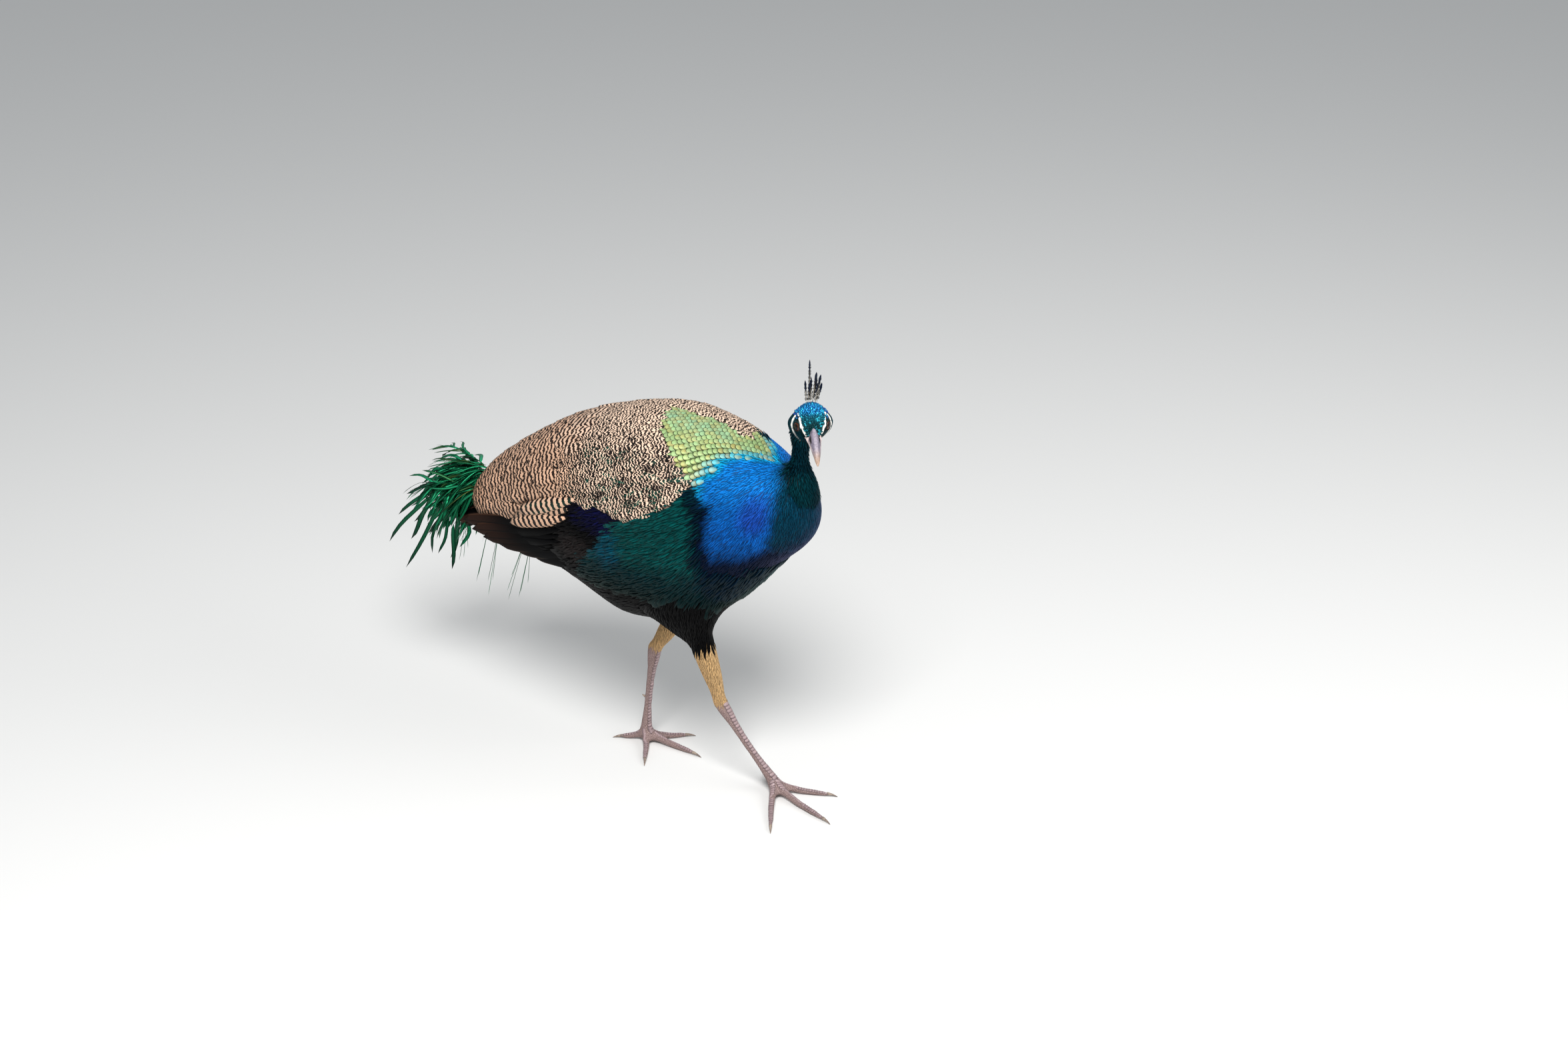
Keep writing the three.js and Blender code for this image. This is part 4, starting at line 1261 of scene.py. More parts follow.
# %% Bundles of blades
class Blades:
    def __init__(self, seed):
        self.random = np.random.default_rng(seed)
        self.points, self.faces, self.rows, self.uvs = [], [], [], []

    def add(self, path, half, facing, thick, tone, across=4, camber=0.0):
        """One blade along a path: half is its half width, facing the way its face looks, tone its colour."""
        path = np.asarray(path, float)
        count = len(path)
        half = np.broadcast_to(half, (count,))
        tone = np.broadcast_to(tone, (count, 3))
        run = unit(np.gradient(path, axis=0))
        aside = unit(np.cross(run, np.broadcast_to(facing, (count, 3))))
        up = np.cross(aside, run)
        steps = np.linalg.norm(np.diff(path, axis=0), axis=1)
        share = np.concatenate([[0], np.cumsum(steps)]) / max(steps.sum(), TINY)
        turn = 2 * math.pi * np.arange(across) / across
        c, s = np.cos(turn), np.sin(turn)
        body = path[1:-1, None] + aside[1:-1, None] * (half[1:-1, None] * c)[..., None]
        body = body + up[1:-1, None] * (thick * s - camber * half[1:-1, None] * c * c)[..., None]
        first = sum(len(p) for p in self.points)
        last = first + 1 + (count - 2) * across
        self.points.append(np.concatenate([path[:1], body.reshape(-1, 3), path[-1:]]))
        colours = np.concatenate([tone[:1], np.repeat(tone[1:-1], across, 0), tone[-1:]])
        extra = np.tile([steps.sum(), self.random.random()], (len(colours), 1))
        self.rows.append(np.concatenate([colours, extra], 1))
        uv = {first: (0.5, 0.0), last: (0.5, 1.0)}
        rings = [[first + 1 + r * across + k for k in range(across)] for r in range(count - 2)]
        for r, ring in enumerate(rings):
            uv.update({v: (0.5 + 0.5 * c[k], share[r + 1]) for k, v in enumerate(ring)})
        faces = []
        for k in range(across):
            n = (k + 1) % across
            faces.append((first, rings[0][k], rings[0][n]))
            faces.append((last, rings[-1][n], rings[-1][k]))
            faces.extend((one[n], one[k], two[k], two[n]) for one, two in zip(rings, rings[1:]))
        self.faces.extend(faces)
        self.uvs.append([[uv[v] for v in face] for face in faces])

    def piece(self, name, finish, slot, *nodes):
        """The bundle as one mesh piece, standing for the nodes."""
        mesh = bpy.data.meshes.new(name)
        mesh.from_pydata(np.concatenate(self.points).tolist(), [], self.faces)
        rows = np.concatenate(self.rows)
        keep_colour(mesh, "tone", rows[:, :3])
        keep(mesh, "length", rows[:, 3])
        keep(mesh, "chance", rows[:, 4])
        side = math.ceil(math.sqrt(len(self.uvs)))
        inset = 1 - 2 * CELL_MARGIN
        own, cells = [], []
        for i, faces in enumerate(self.uvs):
            corner = (i % side + CELL_MARGIN, i // side + CELL_MARGIN)
            own.extend(v for face in faces for uv in face for v in uv)
            cells.extend((corner[k] + inset * uv[k]) / side for face in faces for uv in face for k in (0, 1))
        mesh.uv_layers.new(name="vane").data.foreach_set("uv", np.array(own, np.float32))
        mesh.uv_layers.new(name="OFBake").data.foreach_set("uv", np.array(cells, np.float32))
        print(name, len(self.uvs), "blades,", len(self.faces), "faces")
        finished(object_of(name, mesh), finish, slot, *nodes)


def finished(piece, finish, slot, *nodes):
    """Smooths a piece and hands it over with its finish, standing for the nodes if there are any."""
    piece.data.shade_smooth()
    piece.data.materials.clear()
    piece.data.materials.append(finish)
    placed(piece)
    if nodes:
        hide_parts(*nodes)


def bent(start, way, length, fall, count, sway=0.0, aside=(0, 0, 0), waves=1.0, phase=0.0):
    """A path that sets off along a way and falls as the square of its run, in metres."""
    t = np.linspace(0, 1, count)[:, None]
    ripples = np.sin(2 * math.pi * waves * t + phase) - math.sin(phase)
    return (np.array(start) + np.array(way) * length * t - np.array([0, 0, 1]) * fall * t * t
            + np.array(aside) * sway * ripples * t)


def blend(one, two, share):
    return PAINT[one] * (1 - share) + PAINT[two] * share

# %% [markdown]
# ## Bill
# The horn of the bill is two curved halves that meet along the gape. The upper one hooks over the lower at
# its tip, and has a slot for a nostril on each side. It is grey with a lilac cast, and tan at the tip. A
# sculpted block would need a steady hand: here each half is a row of half rings, whose width and height are
# read off three side curves and one plan curve, so that a change to a curve changes the whole half. The skin
# covers the root of the horn, so that the two meet without a step.

# %% Solids from rings
def solid_of(name, rings, tone_of, finish, slot, node):
    """A closed solid from equal rings of points, with a pole at each end and a colour for each point."""
    count, across = len(rings), len(rings[0])
    places = [rings[0].mean(0), *rings.reshape(-1, 3), rings[-1].mean(0)]
    faces = []
    last = len(places) - 1
    for k in range(across):
        n = (k + 1) % across
        faces.append((0, 1 + k, 1 + n))
        faces.append((last, last - across + n, last - across + k))
        for r in range(count - 1):
            low, high = 1 + r * across, 1 + (r + 1) * across
            faces.append((low + n, low + k, high + k, high + n))
    mesh = bpy.data.meshes.new(name)
    mesh.from_pydata([tuple(p) for p in places], [], faces)
    keep_colour(mesh, "tone", tone_of(np.array(places)))
    layer = mesh.uv_layers.new(name="OFBake")
    uv = {0: (0.5, 0.0), last: (0.5, 1.0)}
    uv.update({1 + r * across + k: (k / across, (r + 1) / (count + 1))
               for r in range(count) for k in range(across)})
    for face in mesh.polygons:
        wraps = any(uv[v][0] > 0.75 for v in face.vertices)
        for v, loop in zip(face.vertices, face.loop_indices):
            u, w = uv[v]
            if v not in (0, last) and wraps and u < 0.25:
                u += 1
            layer.data[loop].uv = (0.02 + 0.94 * u / (1 + 1 / across), 0.01 + 0.98 * w)
    print(name, len(mesh.polygons), "faces")
    finished(object_of(name, mesh), finish, slot, node)


# %% The bill's curves
BILL_ROOT = -17
BILL_LENGTH = 49
BILL_TOP = [(0, 6.4), (0.1, 6.6), (0.25, 5.4), (0.4, 3.2), (0.65, -2.5), (0.85, -9.5), (0.95, -14.6),
            (1, -18)]
BILL_GAPE = [(0, -5.6), (0.3, -5.8), (0.6, -7.6), (0.8, -10.8), (1, -17.2)]
BILL_LOW = [(0, -13.5), (0.3, -12.6), (0.6, -12), (0.8, -12.6), (1, -17)]
UPPER_HALF = [(0, 4.6), (0.12, 5.6), (0.26, 7.8), (0.36, 7.9), (0.5, 6.8), (0.7, 5.0), (0.85, 3.4),
              (0.95, 2.0), (1, 0.6)]
LOWER_HALF = [(0, 9.2), (0.12, 9.8), (0.26, 9.2), (0.4, 7.8), (0.6, 5.9), (0.8, 3.7), (1, 0.8)]
LOWER_SHARE = 0.86
GAPE_GAP = 0.12
BILL_FULLNESS = 1.45
LEAST_HEIGHT = 0.5
FLOOR_POINTS = 6


def eased(pairs):
    """A smooth curve through pairs, for shares of 0 to 1."""
    at = curve_through(pairs)
    fine_steps = np.linspace(-0.1, 1.1, 241)
    values = np.convolve(np.pad(at(fine_steps), 8, "edge"), np.ones(17) / 17, "valid")
    values += (at(fine_steps) - values) * rise(np.abs(fine_steps - 0.5), 0.42, 0.5)
    return lambda share: np.interp(share, fine_steps, values)


def bill_half(reach, outer, sign, widths, steps=30, arc=16):
    """Half rings from root to tip; sign is 1 for the upper half, reach its share of the bill's length."""
    half, edge, outer_at = eased(widths), eased(BILL_GAPE), eased(outer)
    rings = []
    for share in np.linspace(0, 1, steps):
        along = share * reach
        wide = half(share)
        gape_at = edge(along) + sign * GAPE_GAP
        height = max(abs(float(outer_at(share)) - float(edge(along))), LEAST_HEIGHT)
        turn = np.linspace(0, math.pi, arc)
        xs = np.concatenate([wide * np.cos(turn), np.linspace(-wide, wide, FLOOR_POINTS)[1:-1]])
        zs = np.concatenate([gape_at + sign * height * np.sin(turn) ** BILL_FULLNESS,
                             np.full(FLOOR_POINTS - 2, gape_at)])
        rings.append(np.stack([xs, np.full(len(xs), BILL_ROOT - BILL_LENGTH * along), zs], 1))
    rings = np.array(rings)
    return rings if sign > 0 else rings[:, ::-1]


# %% Horn with its nostrils
NOSTRIL = [(-29.0, 0.2), (-33.5, -0.6), (-38.0, -2.4)]
NOSTRIL_DEPTH = 1.3
CULMEN_HALF = 2.0
paint(horn=(122, 114, 128), horn_pale=(170, 160, 170), horn_tip=(168, 138, 112), slot=(24, 18, 24))


def slot_reach(local):
    """How far points are from the nostril slots, seen from the side."""
    dense = along_line(NOSTRIL, [0, 1, 2], np.linspace(0, 2, 30))
    reach = np.linalg.norm(local[:, None, 1:] - dense[None], axis=2).min(1)
    return reach + 9.0 * (np.abs(local[:, 0]) < CULMEN_HALF)


def horn_tone(world):
    local = in_head(world)
    share = (BILL_ROOT - local[:, 1]) / BILL_LENGTH
    found = np.tile(PAINT["horn"], (len(world), 1))
    # Painted highlight: a pale strip along the ridge of the bill.
    found = over(found, "horn_pale", 0.7 * (1 - rise(np.abs(local[:, 0]), 0.8, 3.2)))
    found = over(found, "horn_tip", 0.85 * rise(share, 0.6, 0.95))
    edge = 1 - rise(np.abs(local[:, 2] - eased(BILL_GAPE)(share)), 1.0, 3.6)
    found = over(found, "gape", 0.85 * edge * (1 - rise(share, 0.45, 0.8)))
    return over(found, "slot", 1 - rise(slot_reach(local), 1.3, 1.9))


def horny(bench):
    """Horn: its tone, mottled in fine streaks, with a faint relief."""
    streaks = noise(bench, object_place(bench), 420.0, 4.0)
    return {"Base Color": dim(named(bench, "tone", "Color"), streaks.step(0.3, 0.7) * 0.4 + 0.72),
            "Normal": relief(bench, streaks, 0.35, 0.0004)}


horn_finish = finish_of("horn", horny, 0.45, 0.0, HALF_GLOSS)
upper_bill = bill_half(1, BILL_TOP, 1, UPPER_HALF, 40, 24)
flat_rows = upper_bill.reshape(-1, 3)
dent = (1 - rise(slot_reach(flat_rows), 0.5, 1.9))[:, None] * NOSTRIL_DEPTH
upper_bill = (flat_rows - dent * np.sign(flat_rows[:, :1]) * [1, 0, 0]).reshape(upper_bill.shape)
lower_bill = bill_half(LOWER_SHARE, BILL_LOW, -1, LOWER_HALF)
solid_of("bill_top", to_world(upper_bill), horn_tone, horn_finish, "horn", "bill_upper")
solid_of("bill_low", to_world(lower_bill), horn_tone, horn_finish, "horn", "bill_lower")

# %% [markdown]
# ## Eyes
# A peacock's iris is dark chestnut round a black pupil. The ball is smooth and wet, and only the part in
# the lids' opening shows. A sphere with an image on it would do from afar, but here the rings of the ball
# are set close together at the rims of pupil and iris, so that both stay sharp without an image.

# %% Eyes
PUPIL = 30
IRIS = 52
EYE_TURNS = 40
EYE_GLOSS = {"Specular_IOR_Level": 0.25, "Coat_Weight": 0.15, "Coat_Roughness": 0.02}
RING_ANGLES = np.concatenate([
    np.linspace(2, PUPIL - 1, 6), [PUPIL, PUPIL + 2], np.linspace(PUPIL + 6, IRIS - 2, 6),
    [IRIS, IRIS + 2], np.linspace(IRIS + 10, 176, 12)])
paint(iris=(74, 36, 18), iris_rim=(20, 10, 8))
eye_finish = finish_of("eye", toned, 0.14, 0.0, EYE_GLOSS)


def eye_ball(side, sign):
    centre, looks, forth, up = eye_frame(sign)
    turn = np.linspace(0, 2 * math.pi, EYE_TURNS, endpoint=False) * sign
    circle = np.outer(np.cos(turn), forth) + np.outer(np.sin(turn), up)
    rings = np.array([centre + EYE_RADIUS * (looks * math.cos(p) + math.sin(p) * circle)
                      for p in map(math.radians, RING_ANGLES)])

    def tone_of(world):
        out = in_head(world) - centre
        angle = np.degrees(np.arccos(np.clip(unit(out) @ looks, -1, 1)))
        found = np.tile(PAINT["bar"] * 0.3, (len(world), 1))
        found = over(found, "iris", rise(angle, PUPIL - 0.5, PUPIL + 1.5))
        return over(found, "iris_rim", rise(angle, IRIS - 10, IRIS))

    solid_of("eyeball_" + side, to_world(rings), tone_of, eye_finish, "eye", "eye_" + side)


for side, sign in SIDES.items():
    eye_ball(side, sign)

# %% [markdown]
# ## Crest
# Nine stiff plumes stand on the crown. Each is a bare pale shaft with a few short dark barbs, and ends in a
# narrow blue-black vane. Drawn flat on cards they would vanish from the side, so shaft, barbs and vane are
# blades of their own, and the plumes differ by a few measured numbers each.

# %% Crest
CREST_ROOT = np.array([0, 7, 26])
CREST_PLUMES = [
    (-6, -3, 2, 30), (-4, 1, -5, 27), (-2, 1, 3, 54), (-1, 4, 5, 33), (1, 6, -4, 41),
    (2, 8, 4, 31), (4, 9, 0, 27), (5, 12, 2, 36), (7, 11, -3, 25),
]
CREST_LEAN = 12
CREST_SUNK = 2.5
CREST_VANE = 14
CREST_BARB = 3.6
BARB_STEP = 1.25
paint(shaft=(208, 200, 186), crest=(8, 10, 18), crest_gloss=(12, 34, 66))
crest_finish = finish_of("crest_sheen", toned, 0.45, 0.3, {"Specular_IOR_Level": 0.2})
crest = Blades(31)


def crest_plume(i, foot, fan, lean, length):
    """One plume: its foot across the crown in millimetres, its fan and lean in degrees, and its length."""
    up = unit(np.array([math.sin(math.radians(fan)), math.sin(math.radians(lean + CREST_LEAN)), 1.0]))
    start = CREST_ROOT + np.array([foot, (i % 3) * 2 - 2, -CREST_SUNK])
    face = unit(np.array([0.25 * math.sin(2.3 * i), -1.0, 0.2]))
    aside = np.cross(up, face)
    t = np.linspace(0, 1, 9)[:, None]
    shaft = start + up * (length + 1.5) * 0.97 * t + aside * 1.2 * math.sin(1.7 * i) * t * t
    tone = blend("shaft", "crest", rise(t, 0.45, 0.7))
    world_face = np.array(HEAD_AXES) @ face
    crest.add(to_world(shaft), np.interp(t[:, 0], [0, 1], [0.5, 0.28]) * mm, world_face, 0.3 * mm, tone)
    s = np.linspace(0, 1, 9)
    vane_path = shaft[-1] - up * CREST_VANE * (1 - s[:, None]) + up * 1.5 * s[:, None]
    wide = (1.15 + 0.35 * math.sin(1.9 * i)) * np.sin(np.pi * s ** 1.3) ** 0.8 + 0.1
    crest.add(to_world(vane_path), wide * mm, world_face, 0.35 * mm, blend("crest", "crest_gloss", 0.35), 6)
    pairs = int(length / BARB_STEP)
    for k in range(pairs):
        root = shaft[0] + (shaft[-1] - shaft[0]) * (0.16 + 0.7 * k / max(pairs - 1, 1))
        for hand in (-1, 1):
            way = unit(up + hand * aside * (0.5 + 0.2 * math.sin(k * 2.1 + i)) + face * 0.2 * math.sin(k))
            size = 0.8 + 0.3 * math.sin(k * 1.3 + i)
            barb = root + way * CREST_BARB * size * np.linspace(0, 1, 5)[:, None]
            crest.add(to_world(barb), 0.34 * mm, world_face, 0.12 * mm, PAINT["crest"])


for i, plume in enumerate(CREST_PLUMES):
    crest_plume(i, *plume)
crest.piece("crest_plumes", crest_finish, "blue_plumage", "crest")

# %% [markdown]
# ## Legs and feet
# The front of each leg carries a ladder of wide horny plates, and each toe a row of smaller ones along its
# top. Bump alone would show them face on but not in the outline, so each plate is a shallow vane of its own,
# laid by the same tree as the feathers, from rows that follow the bones. The rest of the skin keeps its fine
# round scales.

# %% Plates
LEG_PATHS = {
    "right": ((-29, 137, 123), (-21, 101, 68), (-14, 63, 15)),
    "left": ((12, 260, 152), (12, 271, 82), (12, 279, 15)),
}
TOE_PATHS = {
    "right": [((-2, 30), (11, -8)), ((-30, 18), (-45, -32)), ((-55, 43), (-96, 20)), ((-3, 75), (9, 87))],
    "left": [((28, 255), (47, 232)), ((12, 238), (9, 197)), ((-14, 262), (-40, 248)), ((5, 296), (-3, 312))],
}
LEG_STEP = 4.7
LEG_ENDS = (6, 4)
TOE_STEP = 3.5
TOE_ENDS = (9, 1)
PLATE_LIE = {"Lift": 0.1, "Stray": 0.05, "Vary": 0.05, "Base": 0.0002}
paint(plate=(156, 134, 134), plate_dark=(72, 54, 62))
plate = vane("plate", lambda v: min(1, 0.5 + 3 * v, 0.55 + 3 * (1 - v)), (0.06, 0.3, 0.7, 0.94), 2.2,
             thick=0.1, camber=0.0, across=8)


def plated(bench):
    """Lilac-grey horn, darker at the lower edge and the two ends of a plate."""
    across, along = vane_place(bench)
    chance = named(bench, "chance")
    tone = mix(flat("plate"), "plate_dark", along.step(0.45, 0.95) * (0.35 + 0.5 * chance))
    tone = mix(tone, "plate_dark", across.size().step(0.55, 1.0) * 0.3)
    return {"Base Color": dim(tone, 0.85 + 0.3 * chance)}


plate_finish = finish_of("plates", plated, 0.42, 0.0, {"Specular_IOR_Level": 0.4})
up_leg, up_toe = [], []


def drop_on(found, start, way):
    hit = skin_tree.ray_cast(start, Vector(way))[0]
    if hit is not None:
        found.append(hit)


for side in SIDES:
    path = np.array(LEG_PATHS[side], float)
    run = unit(path[-1] - path[0])
    ahead = np.array([0.0, -1.0, 0.0])
    ahead = unit(ahead - run * (ahead @ run))
    length = np.linalg.norm(np.diff(path, axis=0), axis=1).sum()
    for share in np.arange(LEG_ENDS[0], length - LEG_ENDS[1], LEG_STEP) / length:
        drop_on(up_leg, from_body(*(along_line(path, [0, 0.5, 1], share) + ahead * 30)), -ahead)
    for knuckle, tip in TOE_PATHS[side]:
        toe = np.array([path[-1][:2], knuckle, tip], float)
        steps = np.linalg.norm(np.diff(toe, axis=0), axis=1)
        for run_at in np.arange(TOE_ENDS[0], steps.sum() - TOE_ENDS[1], TOE_STEP):
            u, v = along_line(toe, [0, steps[0], steps.sum()], run_at)
            drop_on(up_toe, from_body(u, v, 60), DOWN)
lay("leg_plates", plate, "leg", 5, 6.0, plate_finish, "leg_skin", 41, rows_at("leg_rows", up_leg),
    Width=0.95, **PLATE_LIE)
lay("toe_plates", plate, "leg", 5, 4.6, plate_finish, "leg_skin", 42, rows_at("toe_rows", up_toe),
    Width=0.9, **PLATE_LIE)

# %% [markdown]
# ### Claws and spurs
# Claws and spurs are plain cones of horn, a little curved. The solids already have their shape, so copies of
# them are merged and rounded by subdivision. The skin is sunk a little inside its own solids, so each claw
# is moved towards it until its root is covered.

# %% Claws and spurs
CLAW_SET = 3.5
paint(claw=(118, 104, 98), claw_tip=(158, 142, 128))


def claw_paint(bench):
    grain = noise(bench, object_place(bench), 260.0, 2.0)
    return {"Base Color": mix(flat("claw"), "claw_tip", grain.step(0.35, 0.65))}


claw_finish = finish_of("claw", claw_paint, 0.5, 0.0, DULL)
hard = [n for n in NODES if n.startswith(("claw_", "spur_"))]
bm = bmesh.new()
for n in hard:
    first = len(bm.verts)
    bm.from_mesh(NODES[n].data)
    bm.verts.ensure_lookup_table()
    mine = bm.verts[first:]
    heart = sum((v.co for v in mine), Vector()) / len(mine)
    to_skin = skin_tree.find_nearest(heart)[0] - heart
    toward = Vector((to_skin.x, to_skin.y, 0)).normalized()
    gap = to_skin.dot(toward) - max((v.co - heart).dot(toward) for v in mine)
    for v in mine:
        v.co += toward * (gap + CLAW_SET * mm)
bmesh.ops.remove_doubles(bm, verts=bm.verts, dist=WELD)
claws = object_of("claws", mesh_from("claws", bm))
modified(claws, "SUBSURF", levels=2, render_levels=2)
finished(claws, claw_finish, "horn", *hard)
print("claws and spurs:", len(hard))

# %% [markdown]
# ## Train, tail and loose strands
# This bird is young, or has moulted, so its train is short: loose plumes fan out of the rump, and their
# barbs hang free as narrow ribbons that wave and curl. Below them the true tail is a closed fan of plain
# brown feathers, and a few single strands hang from under the rump. Particle hair would give the looseness
# but leaves no mesh behind, so every barb is a thin closed ribbon that falls by a rule, with seeded chance in
# its length, turn and tone.

# %% Ribbons and plumes
BARB_LENGTH = (36, 62)
BARB_HALF = (1.5, 3.2)
BARB_SWAY = (2.0, 7.0)
BARB_FALL = (0.1, 0.6)
UNRULY = (0.14, 1.8)
PALE_SHARE = 0.82
DARK_SHARE = 0.25
paint(train=(20, 136, 88), train_light=(56, 192, 136), train_dark=(6, 44, 30), train_bronze=(92, 92, 36))
train_finish = finish_of("train_sheen", toned, 0.36, 0.5, DULL)
train = Blades(51)
dice = train.random


def ribbon(start, way, length, half, fall, facing, tones, sway):
    """A loose barb: a narrow ribbon that falls, waves and darkens to its tip."""
    aside = unit(np.cross(way, facing))
    path = bent(start, way, length, fall, 8, sway, aside, 0.5 + 0.5 * dice.random(), dice.uniform(0, 6))
    t = np.linspace(0, 1, 8)[:, None]
    wide = half * np.sin(np.pi * (0.12 + 0.8 * t[:, 0])) ** 0.5
    train.add(path, wide, facing, 0.25 * mm, tones[0] * (1 - t) + tones[1] * t)


def plume(start, out, length, droop, barbs):
    """A shaft with barbs by turns on its two sides."""
    t = np.linspace(0, 1, 10)
    shaft = bent(start, out, length, droop, 10)
    train.add(shaft, np.interp(t, [0, 1], [1.0, 0.4]) * mm, (0, 0, 1), 0.4 * mm,
              blend("train_dark", "train", 0.4))
    run = unit(np.gradient(shaft, axis=0))
    for k in range(barbs):
        share = 0.1 + 0.88 * k / (barbs - 1)
        ahead = unit(along_line(run, t, share))
        facing = unit(np.array([0, 0, 1.0]) + dice.normal(size=3) * 0.35)
        aside = unit(np.cross(ahead, facing)) * (1 if k % 2 else -1)
        way = unit(ahead + aside * dice.uniform(0.15, 0.6) + facing * dice.uniform(-0.1, 0.2))
        reach = dice.uniform(*BARB_LENGTH) * (1.1 - 0.4 * share) * mm
        light = blend("train", "train_light", dice.random())
        pale = light if dice.random() < PALE_SHARE else blend("train_bronze", "train", dice.random())
        dark = blend("train_dark", "train", dice.random() * 0.5)
        pale = dark if dice.random() < DARK_SHARE else pale
        sway = dice.uniform(*BARB_SWAY) * mm * (UNRULY[1] if dice.random() < UNRULY[0] else 1)
        half = dice.uniform(*BARB_HALF) * mm
        ribbon(along_line(shaft, t, share), way, reach, half, reach * dice.uniform(*BARB_FALL), facing,
               (pale, dark), sway)


# %% Train
TRAIN_ROOT = (2, 520, 340)
ROOT_ROOM = ((-12, 12), (-22, 4), (-20, 18))
TRAIN_PLUMES = 34
SWING_STEP = 13
TOP_PITCH = 15
TRAIN_FAN = 50
TRAIN_SPREAD = 60
TRAIN_LENGTH = (92, 66)
TRAIN_DROOP = (0.14, 0.45)
BARBS = 22
HANGING = [
    (-10, 602, 300, 679, 207), (8, 592, 296, 671, 163), (-4, 586, 280, 612, 206), (-26, 560, 284, 585, 222),
    (18, 570, 284, 600, 192), (-34, 548, 280, 562, 208), (30, 590, 290, 646, 214), (-20, 590, 300, 640, 232),
    (0, 604, 306, 668, 246), (22, 604, 306, 664, 232),
]
HANGING_FALL = 12
for i in range(TRAIN_PLUMES):
    share = i / (TRAIN_PLUMES - 1)
    pitch = math.radians(TOP_PITCH - TRAIN_FAN * share)
    swing = math.radians((((i * SWING_STEP) % TRAIN_PLUMES) / (TRAIN_PLUMES - 1) - 0.5) * TRAIN_SPREAD)
    length = (TRAIN_LENGTH[0] + (TRAIN_LENGTH[1] - TRAIN_LENGTH[0]) * share) * dice.uniform(0.72, 0.94) * mm
    droop = length * (TRAIN_DROOP[0] + (TRAIN_DROOP[1] - TRAIN_DROOP[0]) * share)
    out = np.array([math.sin(swing), math.cos(swing) * math.cos(pitch), math.sin(pitch)])
    start = from_body(*(at + dice.uniform(*room) for at, room in zip(TRAIN_ROOT, ROOT_ROOM)))
    plume(start, out, length, droop, int(BARBS * (1.1 - 0.5 * share)))
for x_at, a_from, z_from, a_to, z_to in HANGING:
    start = np.array(from_body(x_at, a_from, z_from))
    reach = np.array(from_body(x_at, a_to, z_to)) - start + [0, 0, HANGING_FALL * mm]
    length = np.linalg.norm(reach)
    tones = (blend("train_dark", "train", 0.3 + 0.6 * dice.random()), PAINT["train_dark"])
    ribbon(start, reach / length, length, dice.uniform(2.0, 3.6) * mm, HANGING_FALL * mm, (-0.8, -0.5, 0.3),
           tones, dice.uniform(2, 5) * mm)
train.piece("train_plumes", train_finish, "green_plumage", "train")

# %% [markdown]
# ### Tail and wing tips
# The tail is eleven broad brown feathers stacked like a closed hand of cards, the middle one on top, over a
# dark pad for the soft feathers under it. The tips of the folded wings lie along its sides. Both are blades
# with a round end, on lines read off the side view.

# %% Tail
TAIL_LINE = [(0, 430, 330), (0, 495, 307), (0, 532, 291), (0, 562, 273)]
TAIL_KNOTS = [0, 0.5, 0.78, 1]
TAIL_FEATHERS = 11
TAIL_HALF = 15
PAD_HALF = 30
PAD_THICK = 13
BLADE_THICK = 0.5
paint(tail=(30, 20, 17))
tail_finish = finish_of("tail_vane", flight, 0.6, 0.0, FAINT_GLOSS)


def round_ended(half, t, foot, start):
    """Half widths of a broad feather: foot is its share at the root, and start where its tip rounds off."""
    tip = np.clip((t - start) / (1 - start), 0, 1)
    return half * np.minimum(1, 2.5 * t + foot) * np.sqrt(np.clip(1 - tip ** 2, 0, 1)) * mm


tail = Blades(61)
centre = TAIL_FEATHERS // 2
t = np.linspace(0, 1, 14)
for k in sorted(range(TAIL_FEATHERS), key=lambda k: -abs(k - centre)):
    aside = k - centre
    line = along_line(TAIL_LINE, TAIL_KNOTS, t)
    line[:, 0] += aside * (5.5 - 3.0 * t)
    line[:, 1] -= abs(aside) * 2.6 * t
    line[:, 2] += (6 - 1.9 * abs(aside)) * (1 - 0.4 * t) + 6
    place = np.array([from_body(*p) for p in line])
    tail.add(place, round_ended(TAIL_HALF, t, 0.3, 0.72), (0.12 * aside, 0, 1), BLADE_THICK * mm,
             PAINT["tail"], 8, 0.16)
t = np.linspace(0, 1, 12)
under = along_line([from_body(*p) for p in TAIL_LINE], TAIL_KNOTS, t) - [0, 0, 5 * mm]
tail.add(under, PAD_HALF * mm * np.sin(np.pi * (0.15 + 0.8 * t)) ** 0.6, (0, 0, 1), PAD_THICK * mm,
         PAINT["black"], 14)
tail.piece("tail_feathers", tail_finish, "brown_plumage", "tail")

# %% Tips of the folded wings
WING_TIPS = [(350, 524, 296), (340, 508, 287), (328, 488, 281), (316, 462, 279), (304, 434, 280),
             (292, 405, 281)]
TIP_START = 336
TIP_HALF = 12.5
wing_tips = Blades(65)
t = np.linspace(0, 1, 12)
for sign in SIDES.values():
    for k, (z_from, a_to, z_to) in enumerate(WING_TIPS):
        along = TIP_START + (a_to - TIP_START) * t
        height = z_from + (z_to - z_from) * t ** 0.9
        outward = (86 - 2.6 * k) + (44 + 2.4 * k - 86 + 2.6 * k) * t
        path = np.array([from_body(*place) for place in zip(sign * outward, along, height)])
        brown = (0.75 - 0.15 * k) * rise(t, 0.5, 0.9)[:, None]
        wing_tips.add(path, round_ended(TIP_HALF, t, 0.4, 0.7), (sign * 1.0, 0.15, -0.25), BLADE_THICK * mm,
                      blend("black", "brown", brown), 8, 0.14)
wing_tips.piece("wing_tips", tail_finish, "brown_plumage")

# %% [markdown]
# ### Loose strands
# Where the train has moulted, single long barbs hang under the rump. Each solid here marks where one hangs,
# and three thin blades take its place: one nearly straight, and two finer ones that lean away from it.

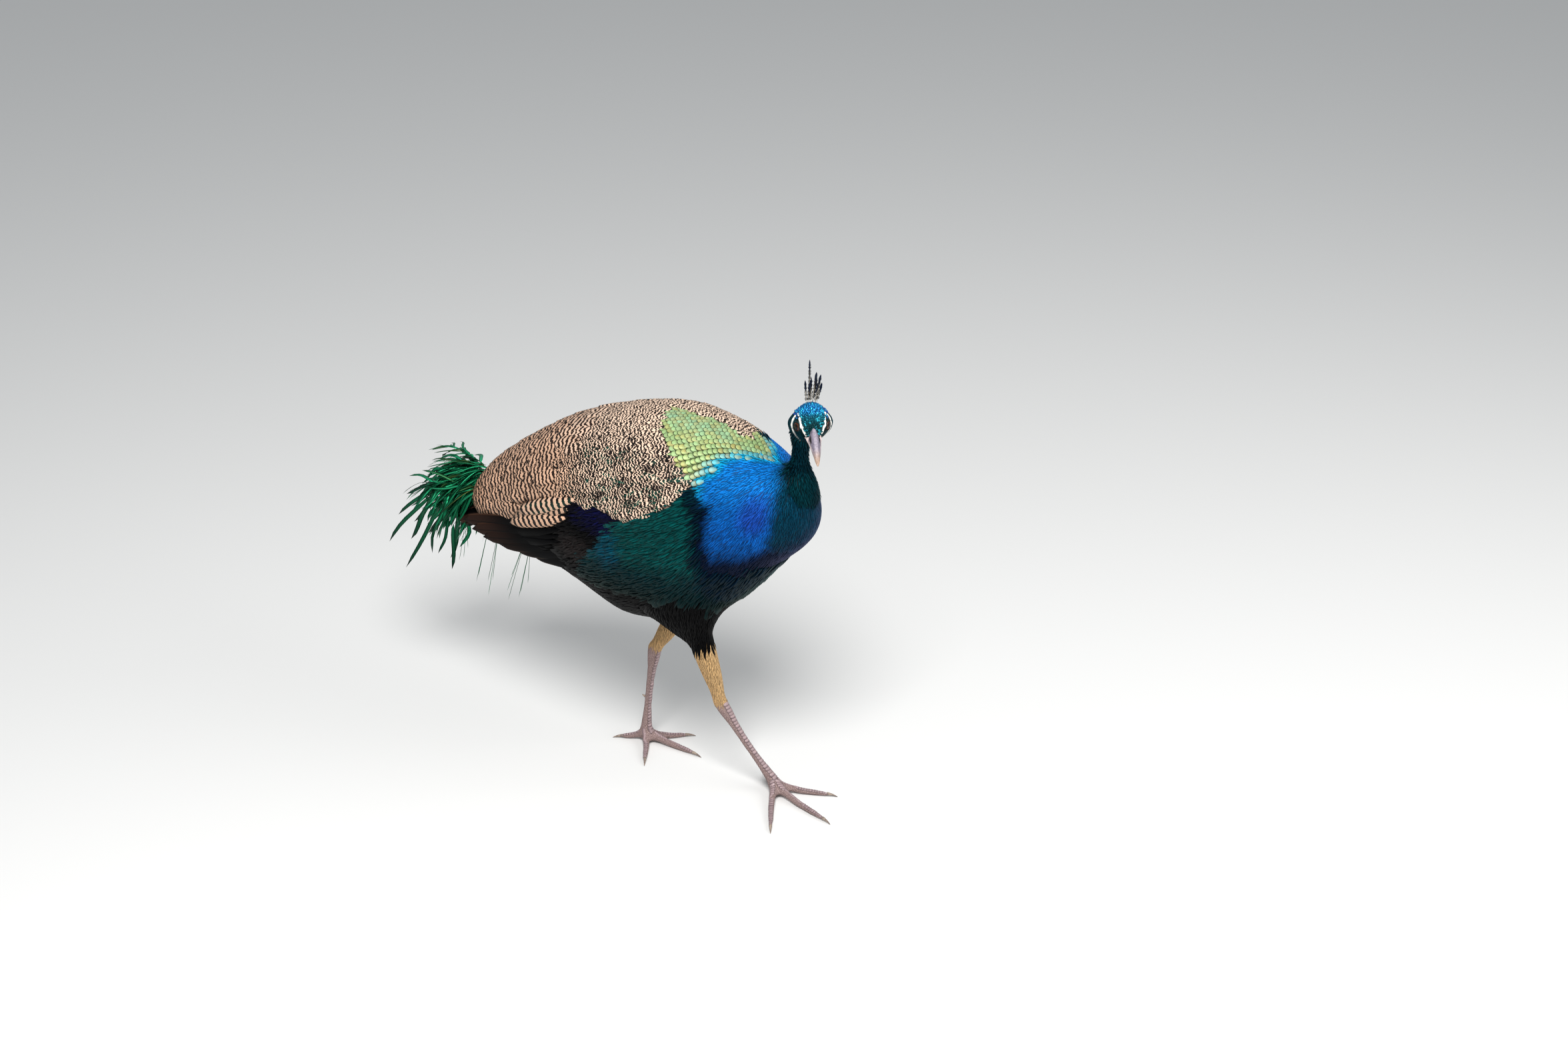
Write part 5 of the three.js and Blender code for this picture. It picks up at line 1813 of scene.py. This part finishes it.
# %% Loose strands
STRANDS_EACH = 3
STRAND_TOP = 14
strands = Blades(71)
hung = sorted(n for n in NODES if n.startswith("strand_"))
t = np.linspace(0, 1, 12)[:, None]
for n in hung:
    low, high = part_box(n)
    start = np.array([(low.x + high.x) / 2, low.y, high.z + STRAND_TOP * mm])
    reach = np.array([0, high.y - low.y, low.z - start[2]])
    for twin in range(STRANDS_EACH):
        lean = np.array([dice.uniform(-6, 6), dice.uniform(-14, 4), dice.uniform(0, 26)]) * mm * (twin > 0)
        waving = np.sin(dice.uniform(3, 7) * t + dice.uniform(0, 6)) * dice.uniform(3, 7) * mm
        path = start + reach * t * dice.uniform(0.75, 1) + lean * t + np.array([1, 0.6, 0]) * waving * t
        tone = blend("train_dark", "train", 0.25 + 0.5 * dice.random())
        strands.add(path, (1.3 - 0.7 * t[:, 0]) * mm * (0.6 if twin else 1), (0.5, -1, 0), 0.3 * mm, tone)
strands.piece("loose_strands", train_finish, "green_plumage", *hung)

# %% [markdown]
# ## The skin's finish, camera, light and floor
# The skin is handed over last, because every coat was laid on it. The floor is plain and pale, so that the
# dark belly and legs stand out against it. A wide soft panel overhead, a weak one in front and a dim world
# light the bird evenly, as daylight under thin cloud does; a small hard lamp would turn each vane's gloss
# into a speck.

# %% Hand over the skin
finished(skin, hide_finish, "dark_plumage", *flesh)

# %% Floor
FLOOR_REACH = 9
FLOOR_COLOUR = (0.78, 0.77, 0.75, 1)
corners = [(-1, -1), (1, -1), (1, 1), (-1, 1)]
floor = object_of("floor", bpy.data.meshes.new("floor"))
floor.data.from_pydata([(FLOOR_REACH * u, FLOOR_REACH * v, 0) for u, v in corners], [], [(0, 1, 2, 3)])
floor_paint = bpy.data.materials.new("floor_paint")
floor_paint.use_nodes = True
floor_shader = floor_paint.node_tree.nodes["Principled BSDF"]
floor_shader.inputs["Base Color"].default_value = FLOOR_COLOUR
floor_shader.inputs["Roughness"].default_value = 0.9
floor.data.materials.append(floor_paint)

# %% Light
AIM = Vector((0, 0, 0.3))
SKY_COLOUR = (0.9, 0.95, 1.0, 1)
SKY_STRENGTH = 0.42


def panel(name, place, size, watts):
    """A round panel of light that faces the bird."""
    light = bpy.data.lights.new(name, "AREA")
    light.shape = "DISK"
    light.size = size
    light.energy = watts
    lamp = object_of(name, light)
    lamp.location = place
    lamp.rotation_euler = (AIM - Vector(place)).to_track_quat("-Z", "Y").to_euler()


panel("key", (-1.6, -1.0, 2.8), 1.5, 110)
panel("fill", (0.6, -2.6, 1.8), 2.0, 30)
world = bpy.data.worlds.new("room")
world.use_nodes = True
sky = world.node_tree.nodes["Background"]
sky.inputs["Color"].default_value = SKY_COLOUR
sky.inputs["Strength"].default_value = SKY_STRENGTH
bpy.context.scene.world = world

# %% Camera
EYE_POINT = Vector((-2.3168, -1.5891, 1.6921))
TURN = math.radians(-60)
ELEVATION = math.radians(26)
lens = bpy.data.cameras.new("view")
lens.lens = 55
lens.sensor_width = 36
camera = object_of("view", lens)
camera.location = EYE_POINT
camera.rotation_euler = (math.pi / 2 - ELEVATION, 0, TURN)
bpy.context.scene.camera = camera
bpy.context.scene.view_settings.view_transform = "Standard"

# %% Clear the patterns away and close
for pattern in patterns:
    bpy.data.objects.remove(pattern)
